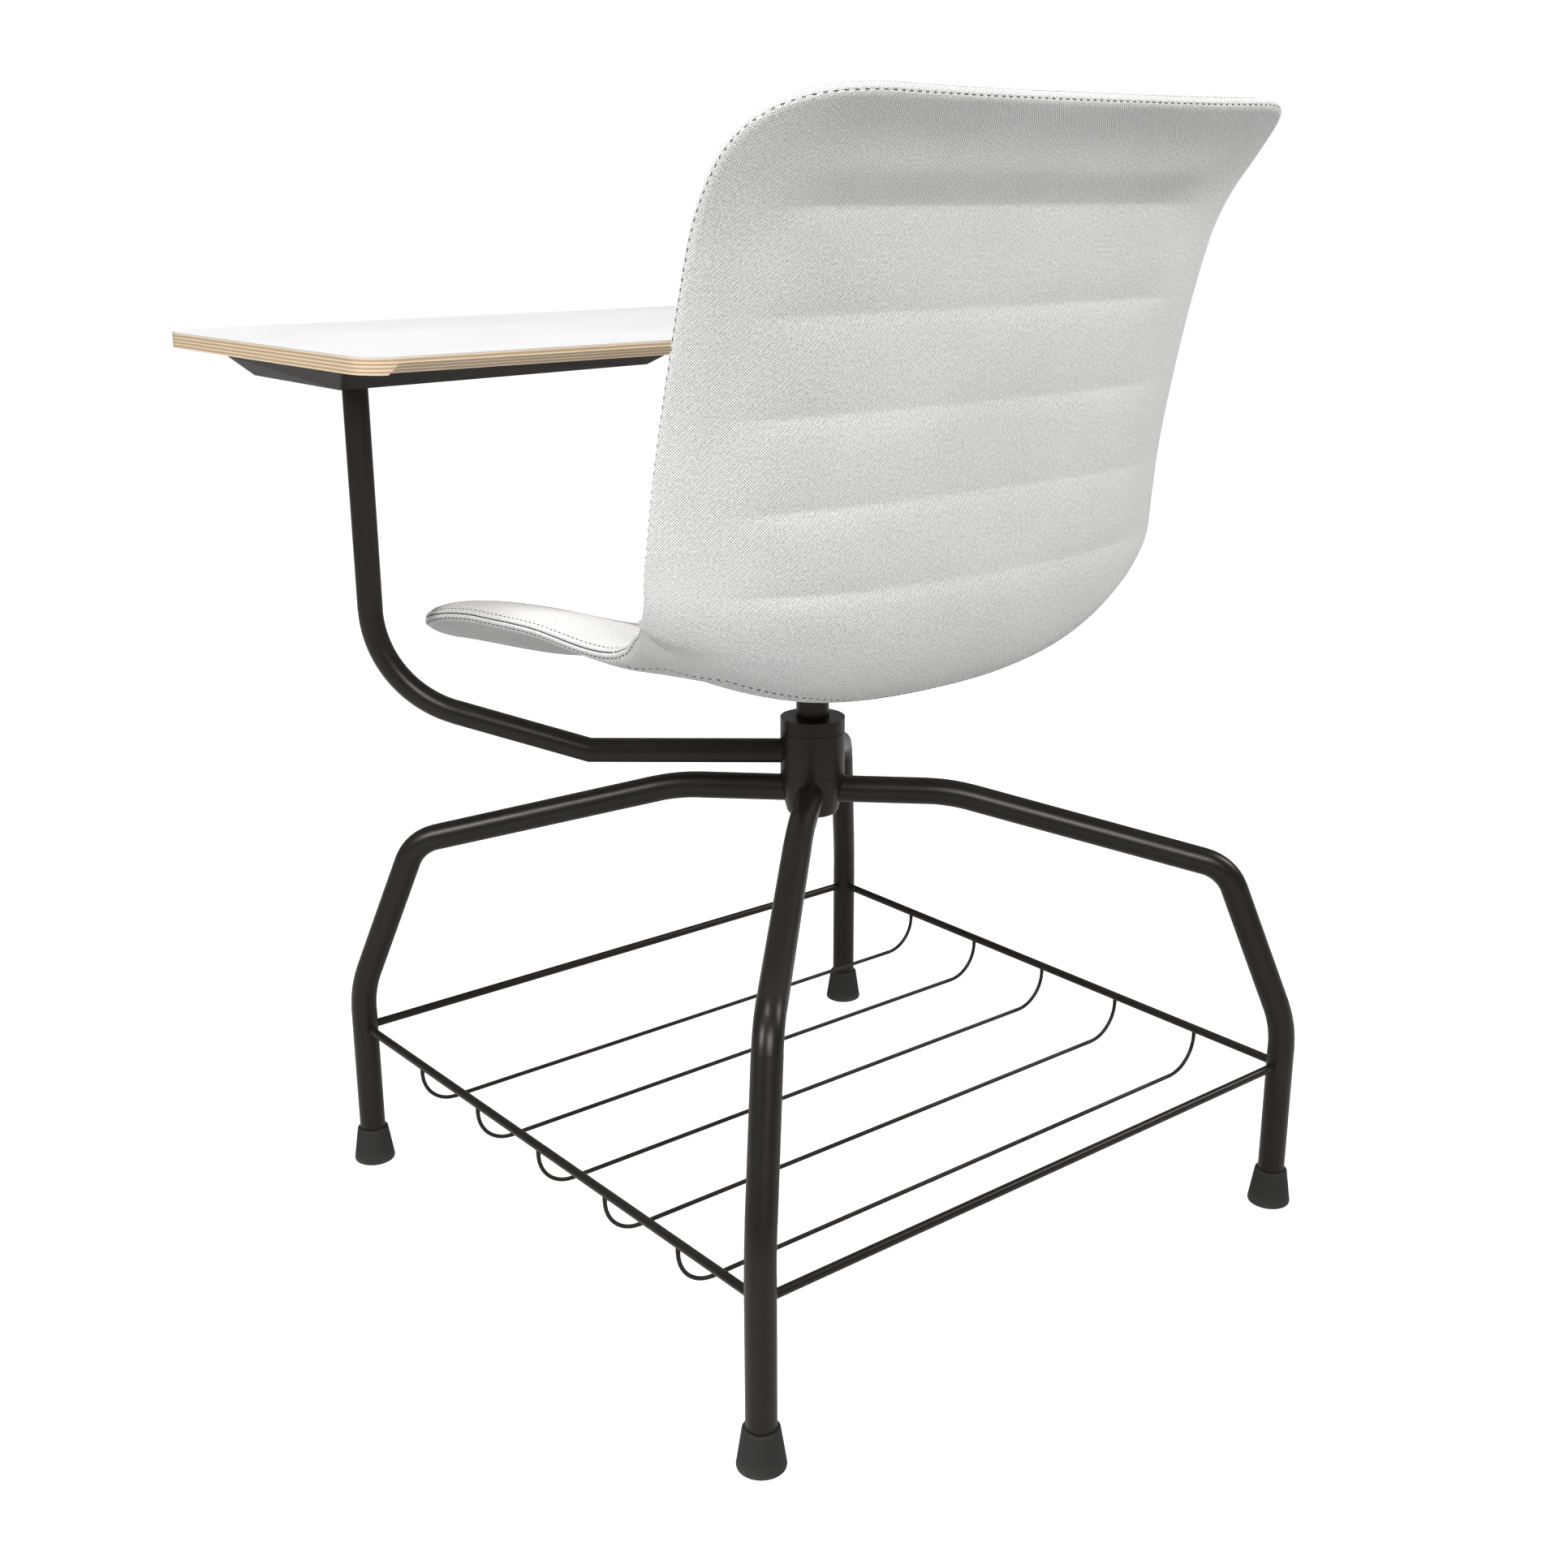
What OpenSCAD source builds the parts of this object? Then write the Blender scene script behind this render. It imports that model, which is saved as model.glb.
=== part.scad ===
// Student desk chair: an upholstered swivel seat and a swinging writing tablet, on a base with a basket.
// Millimetres, +Z up. -Y is the front and +X is the sitter's left.
// The origin is on the floor, in the middle of the outline that the chair stands in.

/* [Legs] */
// Outer diameter of the leg tubes
leg_d = 22; // [20:0.5:23]
// Wall thickness of the leg tubes
leg_wall = 2; // [1.5:0.1:3]
// Distance from the hub's axis to the middle of each foot
leg_reach = 393; // [385:1:405]
// Height of the leg tubes' middle line where they leave the hub
leg_root_z = 359; // [358:0.5:360]
// Distance from the hub's axis to the first, gentle bend
leg_bend_reach = 112; // [90:1:130]
// Distance from the hub's axis to the shoulder bend
leg_shoulder_reach = 338; // [325:1:345]
// Height of the shoulder bend
leg_shoulder_z = 301; // [290:1:310]
// Height of the knee, below which the legs are upright
leg_knee_z = 164; // [155:1:175]

/* [Feet] */
// Radius of a rubber foot at the floor
foot_r = 17.6; // [15:0.1:20]
// Height of a rubber foot
foot_h = 31; // [26:1:36]

/* [Basket] */
// Diameter of the four rods between the legs
rail_d = 7; // [6:0.5:8]
// Height of the rods' middle lines
rail_z = 128; // [120:1:135]
// Diameter of the bent basket wires
wire_d = 3.5; // [3:0.5:5]
// Height of the basket wires' middle line
wire_z = 91.5; // [85:0.5:95]
// Bend radius of the basket wires
wire_bend = 30; // [20:1:30]
// Distance from one basket wire to the next
wire_pitch = 90.5; // [85:0.5:95]
// How far the middle wire lies behind the hub's axis
wire_shift = 6; // [-10:1:10]

/* [Hub] */
// Outer radius of the hub, the tablet arm's collar and the top ring
hub_r = 26.3; // [25.5:0.1:27]
// Height of the underside of the hub
hub_low_z = 338.5; // [337:0.5:340]
// Height of the seam between the hub and the arm's collar
collar_low_z = 372.8; // [372:0.1:374]
// Height of the seam between the arm's collar and the top ring
collar_high_z = 408.4; // [407:0.1:410]
// Height of the top of the ring
hub_top_z = 420; // [418:0.5:422]
// Radius of the seat's spindle
spindle_r = 13.3; // [12.5:0.1:13.5]

/* [Tablet arm] */
// Outer diameter of the arm tube
arm_d = 20; // [18:0.5:21]
// Wall thickness of the arm tube
arm_wall = 2; // [1.5:0.1:3]
// Height of the arm tube's middle line where it leaves the collar
arm_root_z = 390.8; // [388:0.1:393]
// Direction of the arm, turned from the sitter's left towards the front
arm_heading = 40.2; // [35:0.1:45]
// Distance from the hub's axis to the mitred joint
arm_mitre_reach = 182; // [170:1:190]
// Slope of the arm tube beyond the mitred joint
arm_rise = 16.4; // [14:0.1:18]
// Distance from the hub's axis to the upright part of the arm tube
arm_reach = 354; // [352:1:358]
// Bend radius of the arm tube
arm_bend = 89; // [80:1:95]

/* [Tablet] */
// Width of the tablet
tablet_w = 604; // [590:1:610]
// Depth of the tablet, front to back
tablet_depth = 383; // [375:1:390]
// Distance from the hub's axis to the tablet's rear edge
tablet_rear = 144; // [142:1:150]
// Height of the tablet's top face
tablet_top_z = 711; // [705:1:720]
// Thickness of the plywood
board_t = 12.7; // [12:0.1:15]
// Thickness of the white laminate on the plywood
laminate_t = 0.8; // [0.6:0.1:1]
// Corner radius of the tablet
tablet_corner = 30; // [20:1:40]
// Height of the steel pan under the tablet
pan_h = 14.5; // [13:0.5:16]

/* [Seat shell] */
// Half of the upholstered shell's thickness
shell_half_t = 10.3; // [10:0.1:11]
// Distance from the hub's axis to the front end of the shell's middle line
shell_front = 266; // [262:1:270]
// Height of the front end of the shell's middle line
shell_front_z = 433; // [430:1:440]
// Slope of the shell's middle line at its front end
shell_front_slope = 25; // [22:1:28]
// Length of the rolled front edge
roll_len = 120; // [115:1:130]
// Turn of the rolled front edge, downwards
roll_turn = -26; // [-30:1:-24]
// Length of the seat
seat_len = 262; // [256:1:266]
// Turn of the seat's hollow, upwards
seat_turn = 9; // [7:1:11]
// Length of the bend between the seat and the back
bend_len = 124; // [118:1:130]
// Turn of the bend between the seat and the back
bend_turn = 87; // [84:1:90]
// Length of the backrest
back_len = 225; // [215:1:240]
// Turn of the backrest, forwards when negative
back_turn = -11.5; // [-15:0.5:-8]
// Length of the rolled top edge
top_len = 140; // [130:1:145]
// Turn of the rolled top edge, backwards
top_turn = -75; // [-80:1:-68]
// Corner radius at the front of the seat, seen from above
front_corner = 60; // [45:1:65]
// Corner radius at the top of the back, seen from behind
top_corner = 83; // [70:1:90]
// How far the front edge bows forwards in the middle
front_bow = 24; // [15:1:30]
// Height of the seat's mounting plate, on the hub's axis
plate_z = 454; // [453:0.5:455]
// Tilt of the seat's mounting plate
plate_tilt = 4; // [3:0.5:5]

/* [Hidden] */
$fn = 64;

powder_coat = "#2d2b2c";
bright_steel = "#b9bbbd";
bush_plastic = "#3c3c3e";
rubber = "#242323";
fabric = "#d8d7d4";
core_plastic = "#55565a";
birch = "#c9a87c";
laminate = "#f2f2f2";

// The outline runs from the tablet's front edge to the rear feet, and the origin is half way between them
leg_r = leg_d / 2;
foot_xy = leg_reach / sqrt(2);
hub_y = (tablet_rear + tablet_depth - foot_xy - foot_r) / 2;

// Legs: corner points of the middle line, as distance from the hub's axis and height
foot_floor_t = 5;
tube_lap = 8;
leg_path = [
    [hub_r - tube_lap, leg_root_z],
    [leg_bend_reach, leg_root_z],
    [leg_shoulder_reach, leg_shoulder_z],
    [leg_reach, leg_knee_z],
    [leg_reach, foot_floor_t]
];
// Bend radii, from the hub outwards
leg_bends = [150, 38, 100];

// Feet: insets and heights of the edge at the floor, insets and drops of the edge at the top
foot_top_r = 13.3;
foot_floor_edge = [[1.2, 0], [0.3, 0.6], [0, 2]];
foot_top_edge = [[-0.1, 1], [0.7, 0]];

// Basket: how far the wires' ends reach past and below the rods' middle lines
wire_hook = 1;
middle_wire = 3;

// Hub: steel parts and bushes, from the axis outwards
running_gap = 0.05;
seam_t = 0.6;
seam_inset = 0.7;
bush_wall = 1.7;
stem_wall = 3;
stem_inner_r = spindle_r + running_gap + bush_wall;
stem_r = stem_inner_r + stem_wall;
collar_bore_r = stem_r + running_gap + bush_wall;
recess_r = 12;
recess_depth = 6.5;
web_t = 6;
web_low_z = hub_low_z + recess_depth;
web_high_z = web_low_z + web_t;
thrust_t = 1;
spindle_low_z = web_high_z + thrust_t;
ring_cap_t = 4;
ring_gap = 0.5;
bush_h = 12;
// The hub's rounded underside, as insets and heights, and where its taper ends below the seam
hub_low_edge = [[8.5, 0], [6.6, 0.8], [5.2, 3]];
hub_taper_drop = 10;

// Bolt that holds the spindle down
bolt_r = 4;
bolt_gap = 0.5;
bolt_len = 30;
bolt_hole_depth = 25;
bolt_head_r = 7;
bolt_head_h = 4.5;
bolt_washer_r = 10;
bolt_washer_t = 1.2;

// Arm: where the sloping part would meet the upright part
arm_r = arm_d / 2;
arm_corner_z = arm_root_z + (arm_reach - arm_mitre_reach) * tan(arm_rise);
pan_low_z = tablet_top_z - laminate_t - board_t - pan_h;

// Tablet: the long bevel under its rear edge, and the pan's corner points, seen from above
board_low_z = tablet_top_z - laminate_t - board_t;
bevel_lip = 5.2;
bevel_run = 17;
bevel_half_w = 276;
bevel_end_run = 8;
pan_low_points = [[291, -208], [288, -364], [-11, -241]];
pan_high_points = [[297, -192], [297, -396], [-41, -230]];
pan_corner_r = 3;
pan_wall = 3;
pan_boss_r = 8;
tablet_screw_points = [[262, -272], [262, -310], [200, -235], [200, -290], [130, -238], [60, -240]];
tablet_screw_r = 2.5;
tablet_screw_depth = 8;
tablet_screw_head_r = 5;
tablet_screw_head_h = 2.4;
// Recesses that the screw heads sit in, in the pan's underside
tablet_recess_depth = 3;
tablet_recess_r = tablet_screw_head_r + 0.4;

// Seat plate and its screws
plate_size = [76, 104];
plate_t = 4;
plate_corner = 10;
plate_screw_spacing = [50, 76];
plate_screw_r = 3;
plate_screw_depth = 4.5;
plate_screw_head_r = 5;
plate_screw_head_h = 2.5;
// Room round the plate and above it, in the upholstery
plate_side_gap = 0.5;
plate_top_gap = 0.3;

// Shell: the middle line is a chain of arcs, each a length and a turn
spine_arcs = [
    [roll_len, roll_turn], [seat_len, seat_turn], [bend_len, bend_turn],
    [back_len, back_turn], [top_len, top_turn]
];
spine_len = roll_len + seat_len + bend_len + back_len + top_len;
// Stations along the middle line: fraction of its length, half width, rise of the sides
stations = [
    [0, 217, 44], [0.1, 216, 46], [0.22, 216, 51], [0.36, 222, 47], [0.44, 231, 67], [0.5, 240, 76],
    [0.58, 249, 60], [0.66, 249, 46], [0.78, 247, 23], [0.9, 247, 3], [1, 247, 5]
];
// Length of the seat, from the front, that bows forwards
front_roll_depth = 110;
// The sides' rise changes from the seat's curve to this power of the distance across
side_power = 3;
blend_start = 0.28;
blend_span = 0.22;
// Length either way over which the direction of the sides' rise is evened out, and where that sets in
spread_reach = 41;
spread_start = 0.2;
spread_span = 0.15;
// Width of the rounded rim, and half thicknesses of the rim and of the plastic core
edge_band = 26;
rim_half_t = 1;
core_half_t = 3;
corner_steps = 5;
middle_rows = 20;
columns = 16;

// ---------- Round rods and tubes along corner points ----------

bend_lap = 0.5;
bend_thinning = 0.12;

function heading(points, i) =
    atan2(points[i + 1][1] - points[i][1], points[i + 1][0] - points[i][0]);

function turn_at(points, i) = heading(points, i) - heading(points, i - 1);

function setback(points, bends, i) =
    i == 0 || i == len(points) - 1 ? 0 : bends[i - 1] * tan(abs(turn_at(points, i)) / 2);

// A straight length reaches a little into the bends beside it, and past the path's own two ends by overrun
module straight_run(points, bends, i, radius, overrun) {
    last = len(points) - 2;
    from = i == 0 ? -overrun : setback(points, bends, i) - bend_lap;
    span = norm(points[i + 1] - points[i]);
    to = i == last ? span + overrun : span - setback(points, bends, i + 1) + bend_lap;
    translate(points[i]) rotate([0, 0, heading(points, i)]) translate([from, 0, 0]) rotate([0, 90, 0])
        cylinder(h = to - from, r = radius);
}

// Bending draws the round a hair thinner, so an elbow's ends lie inside the straight lengths
module elbow(points, bends, i, radius) {
    turn = turn_at(points, i);
    before = heading(points, i - 1);
    bend = bends[i - 1];
    start = points[i] - setback(points, bends, i) * [cos(before), sin(before)];
    centre = start + sign(turn) * bend * [-sin(before), cos(before)];
    translate(centre) rotate([0, 0, turn > 0 ? before - 90 : before + turn + 90])
        rotate_extrude(angle = abs(turn)) translate([bend, 0]) circle(radius - bend_thinning);
}

// The points are distance and height, and the rod stands in the XZ plane
module bent_rod(points, bends, radius, overrun = 0) {
    rotate([90, 0, 0]) {
        for (i = [0 : len(points) - 2]) straight_run(points, bends, i, radius, overrun);
        if (len(points) > 2) for (i = [1 : len(points) - 2]) elbow(points, bends, i, radius);
    }
}

module bent_tube(points, bends, outer_r, inner_r) {
    difference() {
        bent_rod(points, bends, outer_r);
        bent_rod(points, bends, inner_r, 1);
    }
}

module at_hub(z = 0) {
    translate([0, hub_y, z]) children();
}

module ring_profile(outer_r, inner_r) {
    difference() {
        circle(outer_r);
        circle(inner_r);
    }
}

module sleeve(low_z, high_z, outer_r, inner_r) {
    at_hub(low_z) linear_extrude(high_z - low_z) ring_profile(outer_r, inner_r);
}

// ---------- Hub ----------

module hub_socket_outside() {
    rotate_extrude() polygon(concat(
        [[0, hub_low_z]],
        [for (point = hub_low_edge) [hub_r - point[0], hub_low_z + point[1]]],
        [[hub_r, collar_low_z - hub_taper_drop], [hub_r, collar_low_z], [0, collar_low_z]]
    ));
}

module hub_socket() {
    color(powder_coat) at_hub() difference() {
        hub_socket_outside();
        translate([0, 0, web_high_z]) cylinder(h = collar_low_z, r = stem_r);
        translate([0, 0, web_low_z - 1]) cylinder(h = web_high_z, r = bolt_r + bolt_gap);
        translate([0, 0, hub_low_z - 1]) cylinder(h = recess_depth + 1, r = recess_r);
    }
}

module hub_stem() {
    color(bright_steel) sleeve(web_high_z, hub_top_z - ring_cap_t, stem_r, stem_inner_r);
}

module hub_ring() {
    color(powder_coat) at_hub() difference() {
        translate([0, 0, collar_high_z]) cylinder(h = hub_top_z - collar_high_z, r = hub_r);
        translate([0, 0, collar_high_z - 1])
            cylinder(h = hub_top_z - ring_cap_t - collar_high_z + 1, r = stem_r);
        translate([0, 0, collar_high_z]) cylinder(h = hub_top_z, r = spindle_r + ring_gap);
    }
}

module washer_lower() {
    color(bush_plastic) sleeve(collar_low_z, collar_low_z + seam_t, hub_r - seam_inset, stem_r);
}

module washer_upper() {
    color(bush_plastic) sleeve(collar_high_z - seam_t, collar_high_z, hub_r - seam_inset, stem_r);
}

module spindle_thrust_washer() {
    color(bush_plastic) sleeve(web_high_z, spindle_low_z, spindle_r, bolt_r + bolt_gap);
}

module spindle_bush_lower() {
    color(bush_plastic)
        sleeve(spindle_low_z, spindle_low_z + bush_h, stem_inner_r, spindle_r + running_gap);
}

module spindle_bush_upper() {
    top = hub_top_z - ring_cap_t;
    color(bush_plastic) sleeve(top - bush_h, top, stem_inner_r, spindle_r + running_gap);
}

// ---------- Legs, feet and basket ----------

module leg(direction) {
    color(powder_coat) at_hub() difference() {
        rotate([0, 0, direction]) bent_tube(leg_path, leg_bends, leg_r, leg_r - leg_wall);
        hub_socket_outside();
    }
}

module leg_front_left() { leg(-45); }
module leg_front_right() { leg(-135); }
module leg_rear_left() { leg(45); }
module leg_rear_right() { leg(135); }

module foot(side_x, side_y) {
    profile = concat(
        [[0, 0]],
        [for (point = foot_floor_edge) [foot_r - point[0], point[1]]],
        [for (point = foot_top_edge) [foot_top_r - point[0], foot_h - point[1]]],
        [[leg_r, foot_h], [leg_r, foot_floor_t], [0, foot_floor_t]]
    );
    color(rubber) at_hub() translate([side_x * foot_xy, side_y * foot_xy, 0])
        rotate_extrude() polygon(profile);
}

module foot_front_left() { foot(1, -1); }
module foot_front_right() { foot(-1, -1); }
module foot_rear_left() { foot(1, 1); }
module foot_rear_right() { foot(-1, 1); }

// A rod along X from leg to leg, coped against both of them
module rail_rod() {
    difference() {
        translate([-foot_xy, 0, rail_z]) rotate([0, 90, 0]) cylinder(h = 2 * foot_xy, d = rail_d);
        for (side = [-1, 1]) translate([side * foot_xy, 0, 0]) cylinder(h = leg_knee_z, r = leg_r);
    }
}

module rail(direction) {
    color(powder_coat) at_hub() rotate([0, 0, direction]) translate([0, foot_xy, 0]) rail_rod();
}

module rail_rear() { rail(0); }
module rail_right() { rail(90); }
module rail_front() { rail(180); }
module rail_left() { rail(270); }

module basket_wire(number) {
    half = foot_xy + wire_hook;
    end_z = rail_z - wire_hook;
    path = [[-half, end_z], [-half, wire_z], [half, wire_z], [half, end_z]];
    offset_y = wire_shift + (number - middle_wire) * wire_pitch;
    color(powder_coat) at_hub() translate([0, offset_y, 0]) difference() {
        bent_rod(path, [wire_bend, wire_bend], wire_d / 2);
        for (side = [-1, 1]) translate([side * foot_xy, 0, rail_z])
            rotate([90, 0, 0]) cylinder(h = 4 * wire_d, d = rail_d, center = true);
    }
}

module basket_wire_1() { basket_wire(1); }
module basket_wire_2() { basket_wire(2); }
module basket_wire_3() { basket_wire(3); }
module basket_wire_4() { basket_wire(4); }
module basket_wire_5() { basket_wire(5); }

// ---------- Spindle and seat plate ----------

module tilted_at_plate() {
    at_hub(plate_z) rotate([plate_tilt, 0, 0]) children();
}

module rounded_slab(size, height, corner) {
    linear_extrude(height) {
        square([size[0] - 2 * corner, size[1]], center = true);
        square([size[0], size[1] - 2 * corner], center = true);
        for (x = [-1, 1], y = [-1, 1])
            translate([x * (size[0] / 2 - corner), y * (size[1] / 2 - corner)]) circle(corner);
    }
}

module at_plate_screws() {
    for (x = [-1, 1], y = [-1, 1])
        translate([x * plate_screw_spacing[0] / 2, y * plate_screw_spacing[1] / 2, 0]) children();
}

// A round bar, cut off along the underside of the plate
module spindle() {
    blank_over = 5;
    block = 40;
    color(powder_coat) difference() {
        at_hub(spindle_low_z) cylinder(h = plate_z + blank_over - spindle_low_z, r = spindle_r);
        at_hub(spindle_low_z - 1) cylinder(h = bolt_hole_depth + 1, r = bolt_r);
        tilted_at_plate() translate([-block / 2, -block / 2, 0]) cube([block, block, block / 2]);
    }
}

module spindle_bolt() {
    color(bright_steel) at_hub(web_low_z - bolt_washer_t) {
        translate([0, 0, -bolt_head_h]) cylinder(h = bolt_head_h, r = bolt_head_r);
        cylinder(h = bolt_len, r = bolt_r);
    }
}

module bolt_washer() {
    color(bright_steel) sleeve(web_low_z - bolt_washer_t, web_low_z, bolt_washer_r, bolt_r);
}

module seat_plate() {
    color(bright_steel) tilted_at_plate() difference() {
        rounded_slab(plate_size, plate_t, plate_corner);
        at_plate_screws() translate([0, 0, -1]) cylinder(h = plate_t + 2, r = plate_screw_r);
    }
}

module seat_screws() {
    color(bright_steel) tilted_at_plate() at_plate_screws() {
        translate([0, 0, -plate_screw_head_h]) cylinder(h = plate_screw_head_h, r = plate_screw_head_r);
        cylinder(h = plate_t + plate_screw_depth, r = plate_screw_r);
    }
}

// ---------- Upholstered shell ----------

function smooth(x) = let (u = min(max(x, 0), 1)) u * u * (3 - 2 * u);

// Point [y, z] and slope on the middle line, at a distance from its front end
function spine(distance, i = 0, y = -shell_front, z = shell_front_z, slope = shell_front_slope) =
    let (
        arc_len = spine_arcs[i][0],
        rate = spine_arcs[i][1] / arc_len,
        run = min(distance, arc_len),
        radius = 180 / PI / rate,
        end_slope = slope + rate * run,
        end_y = y + radius * (sin(end_slope) - sin(slope)),
        end_z = z - radius * (cos(end_slope) - cos(slope))
    )
    distance > arc_len && i < len(spine_arcs) - 1
        ? spine(distance - arc_len, i + 1, end_y, end_z, end_slope)
        : [end_y, end_z, end_slope];

function station_rate(i, column) =
    let (low = max(i - 1, 0), high = min(i + 1, len(stations) - 1))
    (stations[high][column] - stations[low][column]) / (stations[high][0] - stations[low][0]);

// Smooth curve through one column of the stations
function station(fraction, column, i = 0) =
    i < len(stations) - 2 && fraction > stations[i + 1][0]
        ? station(fraction, column, i + 1)
        : let (
            span = stations[i + 1][0] - stations[i][0],
            u = (fraction - stations[i][0]) / span,
            a = stations[i][column],
            b = stations[i + 1][column]
        )
        a + (b - a) * u * u * (3 - 2 * u)
            + span * u * (1 - u) * ((1 - u) * station_rate(i, column) - u * station_rate(i + 1, column));

function corner_cut(distance, radius) =
    distance >= radius ? 0 : radius - sqrt(max(0, radius * radius - pow(radius - distance, 2)));

function half_width(distance) =
    station(distance / spine_len, 1) - corner_cut(distance, front_corner)
        - corner_cut(spine_len - distance, top_corner);

// Slope that the sides rise at right angles to, evened out round the bend so that the rim turns gently
function side_slope(distance) =
    let (reach = spread_reach * smooth((distance / spine_len - spread_start) / spread_span))
    (spine(max(distance - reach, 0))[2] + spine(min(distance + reach, spine_len))[2]) / 2;

// Point on the shell's middle surface, with across running from -1 to 1
function middle(distance, across) =
    let (
        on_spine = spine(distance),
        slope = on_spine[2],
        side = side_slope(distance),
        x = across * half_width(distance),
        r = abs(x) / station(distance / spine_len, 1),
        blend = smooth((distance / spine_len - blend_start) / blend_span),
        rise = station(distance / spine_len, 2) * (blend * pow(r, side_power) + (1 - blend) * smooth(r)),
        bow = -front_bow * pow(max(0, 1 - distance / front_roll_depth), 2) * (1 - r * r)
    )
    [x, on_spine[0] - sin(side) * rise + cos(slope) * bow, on_spine[1] + cos(side) * rise + sin(slope) * bow];

function unit(v) = v / norm(v);

function normal(distance, across) =
    let (
        step = 0.5,
        across_step = 0.01,
        lower = max(distance - step, 0),
        upper = min(distance + step, spine_len),
        left = max(across - across_step, -1),
        right = min(across + across_step, 1)
    )
    unit(cross(
        middle(distance, right) - middle(distance, left),
        middle(upper, across) - middle(lower, across)
    ));

function rim_distance(distance, across) =
    min((1 - abs(across)) * half_width(distance), distance, spine_len - distance);

// Half thickness of the upholstery, which rounds off towards the rim
function padding(distance, across) =
    let (inside = 1 - min(rim_distance(distance, across) / edge_band, 1))
    rim_half_t + (shell_half_t - rim_half_t) * sqrt(1 - inside * inside);

rows = concat(
    [for (i = [0 : corner_steps - 1]) front_corner * (1 - cos(90 * i / corner_steps))],
    [for (i = [0 : middle_rows])
        front_corner + (spine_len - front_corner - top_corner) * i / middle_rows],
    [for (i = [corner_steps - 1 : -1 : 0]) spine_len - top_corner * (1 - cos(90 * i / corner_steps))]
);
row_count = len(rows);

function across_at(j) = let (u = 2 * j / columns - 1) (u + sin(90 * u)) / 2;

function on_rim(i, j) = i == 0 || i == row_count - 1 || j == 0 || j == columns;

// One layer between two heights over the middle surface, both functions of row and column
function layer_points(i_first, i_last, j_first, j_last, height) = [
    for (i = [i_first : i_last], j = [j_first : j_last])
        middle(rows[i], across_at(j)) + height(i, j) * normal(rows[i], across_at(j))
];

function grid_faces(across_count, down_count, first, flip) = [
    for (i = [0 : down_count - 2], j = [0 : across_count - 2])
        let (
            a = first + i * across_count + j,
            b = a + 1,
            c = a + across_count + 1,
            d = a + across_count
        )
        each flip ? [[a, c, b], [a, d, c]] : [[a, b, c], [a, c, d]]
];

function rim_loop(across_count, down_count) = concat(
    [for (j = [0 : across_count - 1]) j],
    [for (i = [1 : down_count - 1]) i * across_count + across_count - 1],
    [for (j = [across_count - 2 : -1 : 0]) (down_count - 1) * across_count + j],
    [for (i = [down_count - 2 : -1 : 1]) i * across_count]
);

function wall_faces(across_count, down_count) =
    let (loop = rim_loop(across_count, down_count), count = len(loop), shift = across_count * down_count)
    [
        for (k = [0 : count - 1])
            let (a = loop[k], b = loop[(k + 1) % count])
            each [[a, a + shift, b + shift], [a, b + shift, b]]
    ];

module shell_layer(inset, low, high) {
    across_count = columns + 1 - 2 * inset;
    down_count = row_count - 2 * inset;
    points = concat(
        layer_points(inset, row_count - 1 - inset, inset, columns - inset, low),
        layer_points(inset, row_count - 1 - inset, inset, columns - inset, high)
    );
    at_hub() polyhedron(points, concat(
        grid_faces(across_count, down_count, 0, false),
        grid_faces(across_count, down_count, across_count * down_count, true),
        wall_faces(across_count, down_count)
    ));
}

module shell_core() {
    color(core_plastic) shell_layer(1, function(i, j) -core_half_t, function(i, j) core_half_t);
}

module front_upholstery() {
    color(fabric) shell_layer(
        0,
        function(i, j) on_rim(i, j) ? 0 : core_half_t,
        function(i, j) padding(rows[i], across_at(j))
    );
}

module rear_upholstery() {
    below = 20;
    pocket_size = plate_size + 2 * plate_side_gap * [1, 1];
    color(fabric) difference() {
        shell_layer(
            0,
            function(i, j) -padding(rows[i], across_at(j)),
            function(i, j) on_rim(i, j) ? 0 : -core_half_t
        );
        tilted_at_plate() translate([0, 0, -below])
            rounded_slab(pocket_size, below + plate_t + plate_top_gap, plate_corner + plate_side_gap);
    }
}

// ---------- Tablet arm ----------

module arm_frame() {
    at_hub() rotate([0, 0, -arm_heading]) children();
}

module arm_collar() {
    color(powder_coat) sleeve(collar_low_z + seam_t, collar_high_z - seam_t, hub_r, collar_bore_r);
}

module collar_bush_lower() {
    low = collar_low_z + seam_t;
    color(bush_plastic) sleeve(low, low + bush_h, collar_bore_r, stem_r + running_gap);
}

module collar_bush_upper() {
    high = collar_high_z - seam_t;
    color(bush_plastic) sleeve(high - bush_h, high, collar_bore_r, stem_r + running_gap);
}

// Everything beyond the slanted plane of the mitred joint, on one side of it
module mitre_half(side) {
    block = 80;
    translate([arm_mitre_reach, 0, arm_root_z]) rotate([0, -arm_rise / 2, 0])
        translate([side > 0 ? 0 : -block, -block / 2, -block / 2]) cube(block);
}

module arm_tube() {
    inner_r = arm_r - arm_wall;
    lower_path = [[hub_r - tube_lap, arm_root_z], [arm_mitre_reach + tube_lap, arm_root_z]];
    upper_path = [
        [arm_mitre_reach - tube_lap * cos(arm_rise), arm_root_z - tube_lap * sin(arm_rise)],
        [arm_reach, arm_corner_z],
        [arm_reach, pan_low_z]
    ];
    color(powder_coat) arm_frame() {
        difference() {
            bent_tube(lower_path, [], arm_r, inner_r);
            cylinder(h = collar_high_z, r = hub_r);
            mitre_half(1);
        }
        difference() {
            bent_tube(upper_path, [arm_bend], arm_r, inner_r);
            mitre_half(-1);
        }
    }
}

// ---------- Tablet ----------

module at_tablet(z) {
    at_hub(z) translate([0, -tablet_rear - tablet_depth / 2, 0]) children();
}

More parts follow.
